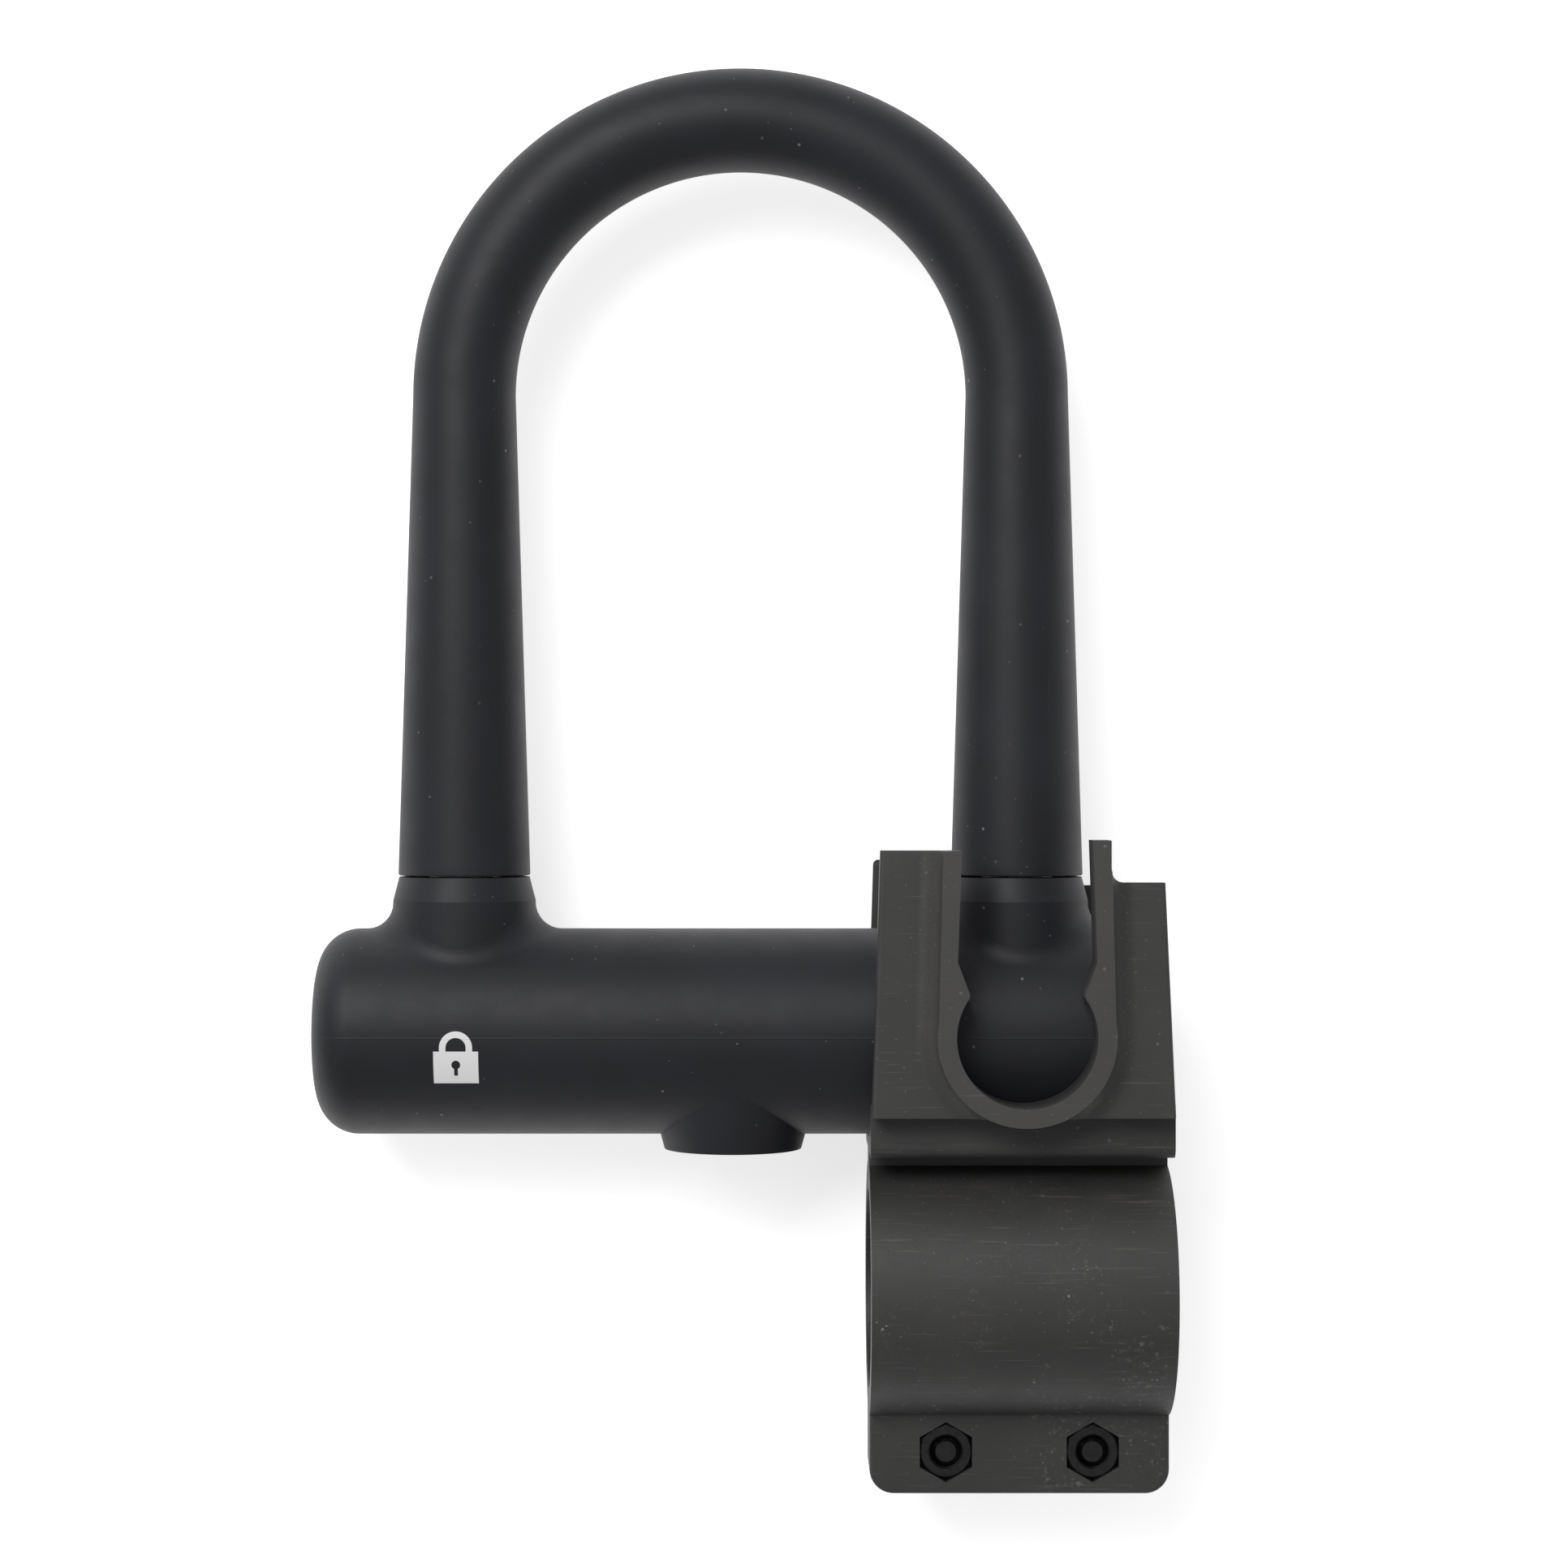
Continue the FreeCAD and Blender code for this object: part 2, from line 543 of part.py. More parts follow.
def make_crossbar_sleeve():
    """Silicone cover of the crossbar with its two necks and the boss round the keyhole."""
    body = new_body("crossbar_cover")
    bar = sketch(body, "bar", "XY_Plane")
    outline(bar, [("0 - sleeve_half + end_crown", "0"), ("sleeve_half - end_crown", "0"),
                  ("sleeve_half - end_crown", "sleeve_radius"),
                  ("0 - sleeve_half + end_crown", "sleeve_radius")])
    revolve(body, bar, "H_Axis")
    for side, sign in SIDES:
        cap = sketch(body, f"{side}_cap", "XY_Plane")
        crown(cap, sign)
        revolve(body, cap, "H_Axis")

    def rim_of_end(middle, edge):
        at_end = near(abs(middle.x), value("sleeve_half - end_crown"))
        return at_end and near(math.hypot(middle.y, middle.z), value("sleeve_radius"))

    dress(body, "Fillet", "sleeve_corner", rim_of_end)
    for side, sign in SIDES:
        neck = sketch(body, f"{side}_neck", "XY_Plane", x=f"{sign} * leg_axis")
        outline(neck, [("0", "0"), ("neck_waist", "0"), ("neck_waist", "neck_waist_rise"),
                       ("neck_radius", "neck_top"), ("0", "neck_top")])
        revolve(body, neck)

    def root_of_neck(middle, edge):
        away = math.hypot(abs(middle.x) - value("leg_axis"), middle.z)
        on_bar = math.hypot(middle.y, middle.z)
        return near(away, value("neck_waist")) and near(on_bar, value("sleeve_radius"))

    dress(body, "Fillet", "neck_flare", root_of_neck)
    boss = sketch(body, "boss", "XY_Plane", x="key_axis")
    outline(boss, [("0", "0 - boss_face"), ("boss_radius", "0 - boss_face"),
                   ("boss_radius + boss_slope * ( boss_face - boss_root )", "0 - boss_root"),
                   ("0", "0 - boss_root")])
    revolve(body, boss)
    tools = [rod("cover_hollow", "tube_outer", "2 * tube_half", "X", "0 - tube_half")]
    for side, sign in SIDES:
        tools.append(rod(f"{side}_neck_hole", "bush_radius", "neck_top + 2", "Y",
                         f"{sign} * leg_axis"))
    tools.append(rod("bezel_seat", "bezel_radius", "bezel_thick + 2", "Y",
                     "key_axis", "0 - boss_face - 2"))
    tools.append(rod("flange_seat", "housing_flange + 0.1", "boss_face - bezel_thick", "Y",
                     "key_axis", "0 - boss_face + bezel_thick"))
    keep_in_lock(cut("crossbar_sleeve", body, tools))


def make_end_plugs():
    for side, sign in SIDES:
        inner = "tube_half - plug_long" if sign > 0 else "0 - tube_half"
        plug = rod(f"{side}_plug_blank", "tube_bore - fit_play", "plug_long", "X", inner)
        middle = f"{sign} * ( tube_half - plug_long / 2 )"
        hole = rod(f"{side}_plug_hole", "end_pin_radius", "2 * tube_outer", "Z",
                   middle, "0", "0 - tube_outer")
        keep_in_lock(cut(f"{side}_end_plug", plug, [hole]))
        pin = rod(f"{side}_end_pin_bar", "end_pin_radius", "2 * end_pin_half", "Z",
                  middle, "0", "0 - end_pin_half")
        keep_in_lock(group(f"{side}_end_pin", [pin]))


def make_foot_bushes():
    for side, sign in SIDES:
        axis = f"{sign} * leg_axis"
        wall = rod(f"{side}_bush_wall", "bush_radius", "neck_top - bush_low", "Y", axis, "bush_low")
        bore = rod(f"{side}_bush_bore", "bush_bore", "neck_top - bush_low + 2", "Y",
                   axis, "bush_low - 1")
        keep_in_lock(cut(f"{side}_foot_bush", wall, [bore]))


def make_bolt_guides():
    for side, sign in SIDES:
        start = "guide_start" if sign > 0 else "0 - guide_start - guide_long"
        guide = rod(f"{side}_guide_blank", "tube_bore - fit_play", "guide_long", "X", start)
        bore = rod(f"{side}_guide_bore", "bolt_radius + fit_play", "guide_long + 2", "X",
                   f"{start} - 1")
        keep_in_lock(cut(f"{side}_bolt_guide", guide, [bore]))


# ---------------------------------------------------------- the lock's cylinder

def make_cylinder_housing():
    """Housing whose roof carries the key core's tail; its flange stops against the tube."""
    body = new_body("cylinder_housing_turned")
    wall = sketch(body, "wall", "XY_Plane", x="key_axis")
    shelf = "0 - housing_foot + housing_flange_thick"
    bore = "core_radius + fit_play"
    roof = "housing_top - housing_roof"
    tail = "tail_radius + fit_play"
    outline(wall, [(bore, "0 - housing_foot"), ("housing_flange", "0 - housing_foot"),
                   ("housing_flange", shelf), ("housing_radius", shelf),
                   ("housing_radius", "housing_top"), (tail, "housing_top"),
                   (tail, roof), (bore, roof)])
    revolve(body, wall)
    notch = rod("housing_pin_notch", "cylinder_pin_radius + fit_play", "housing_radius", "Z",
                "key_axis", "0 - cylinder_pin_drop",
                "0 - core_radius - cylinder_pin_stop - housing_radius + fit_play")
    keep_in_lock(cut("cylinder_housing", body, [notch]))


def make_cylinder_pin():
    """Pin through the tube's back wall that ends in a notch of the housing."""
    bar = rod("cylinder_pin_bar", "cylinder_pin_radius",
              "tube_outer - cylinder_pin_sink - core_radius - cylinder_pin_stop", "Z",
              "key_axis", "0 - cylinder_pin_drop", "0 - tube_outer + cylinder_pin_sink")
    keep_in_lock(group("cylinder_pin", [bar]))


def keyway(name, foot, height):
    """The flat slot that the key passes through."""
    return block(name, ("key_axis - keyway_wide / 2", foot, "0 - keyway_thick / 2"),
                 ("key_axis + keyway_wide / 2", f"{foot} + {height}", "keyway_thick / 2"))


def make_key_core():
    """Slotted cup that holds the discs, with a tail and a flat driving tongue."""
    body = new_body("key_core_turned")
    wall = sketch(body, "wall", "XY_Plane", x="key_axis")
    roof = "0 - core_top - core_roof"
    outline(wall, [("core_bore", "0 - core_foot"), ("core_radius", "0 - core_foot"),
                   ("core_radius", "0 - core_top"), ("tail_radius", "0 - core_top"),
                   ("tail_radius", "tail_top"), ("0", "tail_top"), ("0", roof),
                   ("core_bore", roof)])
    revolve(body, wall)
    tongue = block("driving_tongue",
                   ("key_axis - tongue_thick / 2", "tail_top - tongue_root", "0 - tongue_wide / 2"),
                   ("key_axis + tongue_thick / 2", "tongue_top", "tongue_wide / 2"))
    bar_low = "0 - core_foot + sidebar_inset"
    half = "sidebar_wide / 2"
    slot = block("sidebar_slot",
                 ("key_axis + core_bore - 0.5", f"{bar_low} - sidebar_play",
                  f"0 - {half} - sidebar_play"),
                 ("key_axis + core_radius + 1", f"{bar_low} + sidebar_long + sidebar_play",
                  f"{half} + sidebar_play"))
    keep_in_lock(cut("key_core", fuse("key_core_whole", [body, tongue]), [slot]))
    bar = block("sidebar_bar",
                ("key_axis + core_bore + sidebar_play", bar_low, f"0 - {half}"),
                ("key_axis + core_radius - sidebar_play", f"{bar_low} + sidebar_long", half))
    keep_in_lock(group("sidebar", [bar]))


def make_discs():
    """Stack of detainer discs, a washer behind each, and the hardened disc in front."""
    plate = rod("drill_plate_blank", "core_radius", "drill_plate_thick", "Y",
                "key_axis", "0 - core_foot - drill_plate_thick - 0.1")
    way = keyway("drill_plate_way", "0 - core_foot - drill_plate_thick - 1", "drill_plate_thick + 2")
    keep_in_lock(cut("drill_plate", plate, [way]))
    count = int((value("core_foot") - value("core_top") - value("core_roof")) / value("disc_pitch"))
    discs, washers = [], []
    for index in range(count):
        foot = f"0 - core_foot + 0.05 + {index} * disc_pitch"
        blank = rod(f"disc_{index}_blank", "disc_radius", "disc_thick", "Y", "key_axis", foot)
        way = keyway(f"disc_{index}_way", f"{foot} - 0.5", "disc_thick + 1")
        discs.append(cut(f"disc_{index}", blank, [way]))
        back = f"{foot} + disc_thick + 0.05"
        washer = rod(f"washer_{index}_blank", "disc_radius", "spacer_thick", "Y", "key_axis", back)
        hole = rod(f"washer_{index}_hole", "keyway_wide / 2 + 0.3", "spacer_thick + 1", "Y",
                   "key_axis", f"{back} - 0.5")
        washers.append(cut(f"washer_{index}", washer, [hole]))
    keep_in_lock(group("detainer_discs", discs))
    keep_in_lock(group("disc_spacers", washers))


# -------------------------------------------------------------------- bolt work

def spiral_slot(start):
    """Cutter for one slot of the cam: it runs out by the bolts' throw over a quarter turn.

    The centreline's distance from the axis grows evenly with the angle, so the bolts
    move in proportion to the key. Both walls stand off it along its normal.
    """
    inner = value("pin_start")
    growth = value("throw") / (math.pi / 2)
    half = value("pin_radius + pin_play")
    steps = 12
    walls = {1: [], -1: []}
    for step in range(steps + 1):
        angle = (math.pi / 2) * step / steps
        reach = inner + growth * angle
        turn = start + angle
        outward = Vector(math.cos(turn), 0, math.sin(turn))
        along = Vector(-math.sin(turn), 0, math.cos(turn))
        tangent = outward * growth + along * reach
        normal = Vector(tangent.z, 0, -tangent.x).normalize()
        for side in walls:
            walls[side].append(outward * reach + normal * (side * half))
    curves = []
    for side in walls:
        curve = Part.BSplineCurve()
        curve.interpolate(walls[side])
        curves.append(curve.toShape())
    ends = []
    for index, sense in ((0, -1), (-1, 1)):
        angle = start if index == 0 else start + math.pi / 2
        reach = inner if index == 0 else inner + value("throw")
        outward = Vector(math.cos(angle), 0, math.sin(angle))
        tangent = outward * growth + Vector(-math.sin(angle), 0, math.cos(angle)) * reach
        tip = outward * reach + tangent.normalize() * (sense * half)
        ends.append(Part.Arc(walls[1][index], tip, walls[-1][index]).toShape())
    wire = Part.Wire(Part.__sortEdges__(curves + ends))
    cutter = Part.Face(wire).extrude(Vector(0, value("slot_deep") + 1, 0))
    cutter.translate(Vector(value("key_axis"), value("cam_top") - value("slot_deep"), 0))
    return cutter


def make_drive_cam():
    blank = rod("cam_blank", "cam_radius", "cam_thick", "Y", "key_axis", "cam_foot")
    tools = []
    for (side, sign), start in zip(SIDES, (math.pi, 0)):
        slot = doc.addObject("Part::Feature", f"{side}_cam_slot")
        slot.Shape = spiral_slot(start)
        tools.append(slot)
    tools.append(block("cam_socket",
                       ("key_axis - tongue_thick / 2 - fit_play", "cam_foot - 1",
                        "0 - tongue_wide / 2 - fit_play"),
                       ("key_axis + tongue_thick / 2 + fit_play", "tongue_top + 0.1",
                        "tongue_wide / 2 + fit_play")))
    tools.append(rod("cam_tail_seat", "tail_radius + fit_play", "tail_top - cam_foot + 1.1", "Y",
                     "key_axis", "cam_foot - 1"))
    keep_in_lock(cut("drive_cam", blank, tools))


def make_deadbolts():
    """Round bolt, upright post and flat arm over the cam; the drive pin hangs from the arm."""
    for side, sign in SIDES:
        post_near = f"key_axis + {sign} * post_start"
        post_far = f"key_axis + {sign} * ( post_start + post_long )"
        arm_end = f"key_axis + {sign} * ( pin_start - pin_radius - arm_end_wall )"
        nose_from = post_far if sign > 0 else "0 - bolt_tip"
        nose_long = f"bolt_tip - post_start - post_long - {sign} * key_axis"
        nose = rod(f"{side}_bolt_nose", "bolt_radius", nose_long, "X", nose_from)
        left_x, right_x = (post_near, post_far) if sign > 0 else (post_far, post_near)
        post = block(f"{side}_bolt_post", (left_x, "0 - bolt_radius", "0 - arm_half"),
                     (right_x, "arm_top", "arm_half"))
        left_x, right_x = (arm_end, post_near) if sign > 0 else (post_near, arm_end)
        arm = block(f"{side}_bolt_arm", (left_x, "arm_low", "0 - arm_half"),
                    (right_x, "arm_top", "arm_half"))
        pin_x = f"key_axis + {sign} * pin_start"
        hole = rod(f"{side}_drive_pin_hole", "pin_radius", "arm_thick + 2", "Y", pin_x, "arm_low - 1")
        whole = fuse(f"{side}_bolt_whole", [nose, post, arm])
        keep_in_lock(cut(f"{side}_deadbolt", whole, [hole]))
        pin_low = "cam_top - slot_deep + slot_floor"
        pin = rod(f"{side}_drive_pin_bar", "pin_radius", f"arm_top - ( {pin_low} )", "Y", pin_x, pin_low)
        keep_in_lock(group(f"{side}_drive_pin", [pin]))


# ----------------------------------------------------------- bezel and dust shutter

def make_bezel():
    body = new_body("keyhole_bezel")
    disc = sketch(body, "disc", "XY_Plane", x="key_axis")
    floor = "0 - boss_face + bezel_recess"
    rim = "bezel_radius - bezel_rim"
    outline(disc, [("keyhole", floor), (rim, floor), (rim, "0 - boss_face"),
                   ("bezel_radius", "0 - boss_face"),
                   ("bezel_radius", "0 - boss_face + bezel_thick"),
                   ("keyhole", "0 - boss_face + bezel_thick")])
    revolve(body, disc)
    hole = ring(sketch(body, "pin_hole", "XZ_Plane", x="key_axis", lift="boss_face"),
                "shutter_pin_radius", "shutter_pivot", "0")
    pocket(body, hole, "bezel_thick")
    keep_in_lock(body)


def make_shutter():
    """Teardrop blade that lies in the bezel's dished face and swings clear of the keyhole."""
    low = "shutter_low"
    pivot = "key_axis + shutter_pivot"
    blade = rod("shutter_blade_disc", "shutter_blade", "shutter_thick", "Y", "key_axis", low)
    hub = rod("shutter_hub_disc", "shutter_hub", "shutter_thick", "Y", pivot, low)
    lean = (value("shutter_blade") - value("shutter_hub")) / value("shutter_pivot")
    side = math.sqrt(1 - lean * lean)
    bridge = doc.addObject("Part::Feature", "shutter_bridge")
    corners = []
    for x, reach in ((0, value("shutter_blade")), (value("shutter_pivot"), value("shutter_hub"))):
        corners.append((x + reach * lean, reach * side))
    (near_x, near_z), (far_x, far_z) = corners
    points = [(near_x, -near_z), (far_x, -far_z), (far_x, far_z), (near_x, near_z), (near_x, -near_z)]
    face = Part.Face(Part.makePolygon([Vector(x, 0, z) for x, z in points]))
    bridge.Shape = face.extrude(Vector(0, value("shutter_thick"), 0))
    put(bridge, "key_axis", low)
    hole = rod("shutter_hole", "shutter_pin_radius + fit_play", "shutter_thick + 2", "Y",
               pivot, f"{low} - 1")
    whole = fuse("shutter_whole", [blade, hub, bridge])
    keep_in_lock(cut("keyhole_shutter", whole, [hole]))
    pin = rod("shutter_pin_bar", "shutter_pin_radius", "bezel_thick - 3 * shutter_sink", "Y",
              pivot, low)
    keep_in_lock(group("shutter_pin", [pin]))


# ------------------------------------------------------------------- the bracket

def make_bracket():
    """Holster trough above, split clamp loop below, moulded in one piece.

    It is drawn about the frame tube's axis; the crossbar's axis lies loop_drop above it.
    """
    body = new_body("bracket")

    def side_view(name, corners):
        return outline(sketch(body, name, "YZ_Plane"), corners)

    loop = ring(sketch(body, "loop", "YZ_Plane"), "loop_radius")
    pad(body, loop, "loop_width", "Symmetric")
    bead_low = "loop_drop - bead_foot"
    bead_high = "loop_drop - plate_foot + bead_overlap"
    web = side_view("web", [
        ("tube_radius", "0 - web_front"), (bead_low, "0 - web_front"),
        (bead_low, "0 - bead_front"), (bead_high, "0 - bead_front"),
        (bead_high, "bead_front"), (bead_low, "bead_front"),
        (bead_low, "web_front"), ("tube_radius", "web_front")])
    pad(body, web, "loop_width", "Symmetric")
    flange = sketch(body, "flange", "XY_Plane")
    outline(flange, [("0 - loop_width / 2", "0 - flange_reach"), ("loop_width / 2", "0 - flange_reach"),
                     ("loop_width / 2", "0 - tube_radius"), ("0 - loop_width / 2", "0 - tube_radius")])
    pad(body, flange, "2 * flange_front", "Symmetric")

    low = value("flange_reach")
    dress(body, "Fillet", "flange_corner",
          lambda middle, edge: near(middle.y, -low) and near(middle.z, 0) and abs(middle.x) > 1)
    web_reach = value("bead_front")
    bead_edge = value("loop_drop") - value("bead_foot")
    dress(body, "Fillet", "bead_edge",
          lambda middle, edge: near(middle.y, bead_edge) and near(abs(middle.z), web_reach))

    walls = sketch(body, "walls", "XY_Plane")
    foot = "loop_drop - plate_foot"
    top = "loop_drop + collar_top"
    outline(walls, [("0 - plate_left_low", foot), ("plate_right_low", foot),
                    ("plate_right_high", top), ("0 - plate_left_high", top)])
    pad(body, walls, "2 * wall_front", "Symmetric")

    collar = sketch(body, "collar", "XY_Plane", y="loop_drop + seat_rise")
    ring(collar, "collar_hole + collar_wall")
    pad(body, collar, "collar_front")
    arms = sketch(body, "arms", "XY_Plane")
    half_low = "( slot_half_low + collar_wall )"
    half_top = "( slot_half_top + collar_wall )"
    middle = "loop_drop + seat_rise"
    outline(arms, [(f"0 - {half_low}", middle), (half_low, middle),
                   (half_top, top), (f"0 - {half_top}", top)])
    pad(body, arms, "collar_front")

    wall_face = value("wall_front")
    plate_low = value("loop_drop - plate_foot")
    side_limit = value("collar_hole + collar_wall + 2")

    def collar_root(middle, edge):
        inside = abs(middle.x) < side_limit and middle.y > plate_low + 0.1
        return near(middle.z, wall_face) and inside and middle.y < value(top) - 0.1

    dress(body, "Fillet", "collar_root", collar_root)

    # what is cut away: above the plate and the rear wall, the trough, the slot
    above = "loop_drop + collar_top + 5"
    left = sketch(body, "left_top", "XY_Plane")
    outline(left, [("0 - 2 * loop_width", "loop_drop + plate_top"), ("0", "loop_drop + plate_top"),
                   ("0", above), ("0 - 2 * loop_width", above)])
    pocket(body, left, "2 * collar_front", reverse=True)
    right = sketch(body, "right_top", "XY_Plane")
    rounded_corner(right, (half_top, "loop_drop + shoulder_top"), ("2 * loop_width", above),
                   "shoulder_round")
    pocket(body, right, "2 * collar_front", reverse=True)
    rear = sketch(body, "rear_top", "XY_Plane")
    outline(rear, [("0 - 2 * loop_width", "loop_drop + rear_top"), ("0", "loop_drop + rear_top"),
                   ("0", "loop_drop + rear_shoulder"), ("2 * loop_width", "loop_drop + rear_shoulder"),
                   ("2 * loop_width", above), ("0 - 2 * loop_width", above)])
    pocket(body, rear, "2 * collar_front")
    trough = ring(sketch(body, "trough", "YZ_Plane"), "channel", "loop_drop")
    pocket(body, trough, "3 * loop_width", "Symmetric")
    mouth = side_view("mouth", [("loop_drop", "0 - channel"), (above, "0 - channel"),
                                (above, "channel"), ("loop_drop", "channel")])
    pocket(body, mouth, "3 * loop_width", "Symmetric")
    seat = ring(sketch(body, "seat", "XY_Plane", y=middle), "collar_hole")
    pocket(body, seat, "2 * collar_front", reverse=True)
    slot = sketch(body, "slot", "XY_Plane", y=middle)
    slot_top = "collar_top - seat_rise + 5"
    outline(slot, [("0 - pinch_half", "0"), ("pinch_half", "0"), ("pinch_half", "pinch_rise"),
                   ("slot_half_low", "pinch_start"), ("slot_half_top", slot_top),
                   ("0 - slot_half_top", slot_top), ("0 - slot_half_low", "pinch_start"),
                   ("0 - pinch_half", "pinch_rise")])
    pocket(body, slot, "2 * collar_front", reverse=True)

    # the clamp: bore, split, screw holes and nut pockets
    bore = ring(sketch(body, "bore", "YZ_Plane"), "tube_radius")
    pocket(body, bore, "3 * loop_width", "Symmetric")
    split = side_view("split", [("0", "0 - clamp_gap / 2"), ("0", "clamp_gap / 2"),
                                ("0 - flange_reach - 5", "clamp_gap / 2"),
                                ("0 - flange_reach - 5", "0 - clamp_gap / 2")])
    pocket(body, split, "3 * loop_width", "Symmetric")
    for side, sign in SIDES:
        x = f"{sign} * screw_spacing / 2"
        hole = ring(sketch(body, f"{side}_screw_hole", "XY_Plane", x=x, y="0 - screw_drop"),
                    "screw_radius + screw_play")
        pocket(body, hole, "4 * flange_front", "Symmetric")
        hexagon = sketch(body, f"{side}_nut_pocket", "XY_Plane", x=x, y="0 - screw_drop",
                         lift="nut_low - 0.05")
        outline(hexagon, hexagon_corners("nut_flats / 2 + 0.1"))
        pocket(body, hexagon, "flange_front", reverse=True)
    round_bracket(body)
    keep(body)


def round_bracket(body):
    """Soft edges of the moulding."""
    half = value("loop_width / 2")
    loop = value("loop_radius")
    face = value("wall_front")
    flange = value("flange_front")
    reach = value("flange_reach")
    plate_foot = value("loop_drop - plate_foot")
    rear_tops = (value("loop_drop + rear_top"), value("loop_drop + rear_shoulder"))

    def on_flange_rim(middle, edge):
        on_face = near(abs(middle.z), flange)
        low_side = near(abs(middle.x), half) and middle.y < -loop
        corner = abs(middle.x) > half - value("flange_corner") and middle.y < -loop
        return on_face and (low_side or corner or near(middle.y, -reach))

    def on_side(middle, edge):
        wide = middle.x < -value("plate_left_high") or middle.x > value("plate_right_high")
        return near(abs(middle.z), face) and wide and middle.y > plate_foot + 1

    def on_rear_end(middle, edge):
        at_end = near(middle.y, plate_foot) or any(near(middle.y, top) for top in rear_tops)
        return near(middle.z, -face) and at_end

    dress(body, "Fillet", "small_edge", on_flange_rim)
    dress(body, "Fillet", "small_edge", on_side)
    dress(body, "Fillet", "rear_edge", on_rear_end)


def hexagon_corners(apothem):
    """Corners of a hexagon that points up and down, from its half-width across flats."""
    corners = []
    for index in range(6):
        angle = math.radians(30 + 60 * index)
        reach = f"( {apothem} ) * {1 / math.cos(math.radians(30)):.9f}"
        corners.append((f"{reach} * {math.cos(angle):.9f}", f"{reach} * {math.sin(angle):.9f}"))
    return corners


def make_clamp_screws():
    """Two screws from behind, a washer under each head, and two nuts held by their pockets."""
    screws, washers, nuts = [], [], []
    for side, sign in SIDES:
        x = f"{sign} * screw_spacing / 2"
        y = "0 - screw_drop"
        washer_low = "0 - flange_front - washer_thick"
        disc = rod(f"{side}_washer_disc", "washer_radius", "washer_thick", "Z", x, y, washer_low)
        hole = rod(f"{side}_washer_hole", "screw_radius + screw_play", "washer_thick + 2", "Z",
                   x, y, f"{washer_low} - 1")
        washers.append(cut(f"{side}_washer", disc, [hole]))

        nut = new_body(f"{side}_nut")
        face = sketch(nut, "face", "XY_Plane", x=x, y=y, lift="nut_low")
        outline(face, hexagon_corners("nut_flats / 2"))
        pad(nut, face, "nut_tall")
        thread = ring(sketch(nut, "thread", "XY_Plane", x=x, y=y, lift="nut_low"), "screw_radius")
        pocket(nut, thread, "nut_tall", reverse=True)
        nuts.append(nut)

        screw = new_body(f"{side}_screw")
        head_low = f"{washer_low} - screw_head_tall"
        head = ring(sketch(screw, "head", "XY_Plane", x=x, y=y, lift=head_low), "screw_head_radius")
        pad(screw, head, "screw_head_tall")
        shank = ring(sketch(screw, "shank", "XY_Plane", x=x, y=y, lift=washer_low), "screw_radius")
        pad(screw, shank, f"nut_face - ( {washer_low} )")
        edge_z = value(head_low)
        dress(screw, "Fillet", "screw_head_tall * 0.5", lambda middle, edge: near(middle.z, edge_z))
        socket = sketch(screw, "socket", "XY_Plane", x=x, y=y, lift=head_low)
        outline(socket, hexagon_corners("hex_key / 2"))
        pocket(screw, socket, "screw_head_tall * 0.6", reverse=True)
        screws.append(screw)
    keep(group("clamp_bolts", screws))
    keep(group("clamp_washers", washers))
    keep(group("clamp_nuts", nuts))


# ----------------------------------------------------------------- making it all

MAKERS = [
    make_shackle, make_shackle_sleeve, make_crossbar_tube, make_crossbar_sleeve,
    make_end_plugs, make_foot_bushes, make_bolt_guides,
    make_cylinder_housing, make_cylinder_pin, make_key_core, make_discs,
    make_drive_cam, make_deadbolts, make_bezel, make_shutter,
    make_bracket, make_clamp_screws,
]
for make in MAKERS:
    make()
doc.recompute()
faults = [thing.Name for thing in doc.Objects
          if "Invalid" in thing.State or "Error" in thing.State]
faults += [label for label, thing in nodes.items()
           if thing.Shape.isNull() or not thing.Shape.isValid()]
if faults:
    raise RuntimeError("failed: " + ", ".join(faults))
os.makedirs("parts", exist_ok=True)
for label, thing in nodes.items():
    thing.Shape.exportStep(f"parts/{label}.step")
print(len(nodes), "sub-parts written")
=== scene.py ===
"""Bicycle U lock in its frame bracket: surfaces, finishes and a plain studio."""
import math

import bmesh
import bpy
import numpy as np
from bpy.props import FloatProperty, FloatVectorProperty, PointerProperty
from bpy.types import Operator, Panel, PropertyGroup
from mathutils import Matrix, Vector


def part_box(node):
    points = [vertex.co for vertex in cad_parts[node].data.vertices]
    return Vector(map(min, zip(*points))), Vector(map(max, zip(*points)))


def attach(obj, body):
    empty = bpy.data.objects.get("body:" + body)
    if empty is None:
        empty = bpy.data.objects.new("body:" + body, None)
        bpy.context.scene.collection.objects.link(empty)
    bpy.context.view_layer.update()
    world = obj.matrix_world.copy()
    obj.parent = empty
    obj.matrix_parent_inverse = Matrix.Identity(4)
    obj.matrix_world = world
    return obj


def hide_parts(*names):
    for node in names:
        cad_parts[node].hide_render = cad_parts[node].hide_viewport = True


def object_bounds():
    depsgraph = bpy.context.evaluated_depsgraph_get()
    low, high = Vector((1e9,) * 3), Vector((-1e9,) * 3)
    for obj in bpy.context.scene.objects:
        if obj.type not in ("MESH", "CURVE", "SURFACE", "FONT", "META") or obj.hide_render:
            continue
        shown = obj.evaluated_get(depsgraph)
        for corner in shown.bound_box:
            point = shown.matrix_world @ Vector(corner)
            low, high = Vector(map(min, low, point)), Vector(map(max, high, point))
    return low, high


bl_info = {
    "name": "U Lock",
    "version": (1, 0, 0),
    "blender": (4, 5, 0),
    "location": "3D View > Sidebar > U Lock",
    "description": "Builds a silicone-covered U lock in its moulded frame bracket",
    "category": "Object",
}

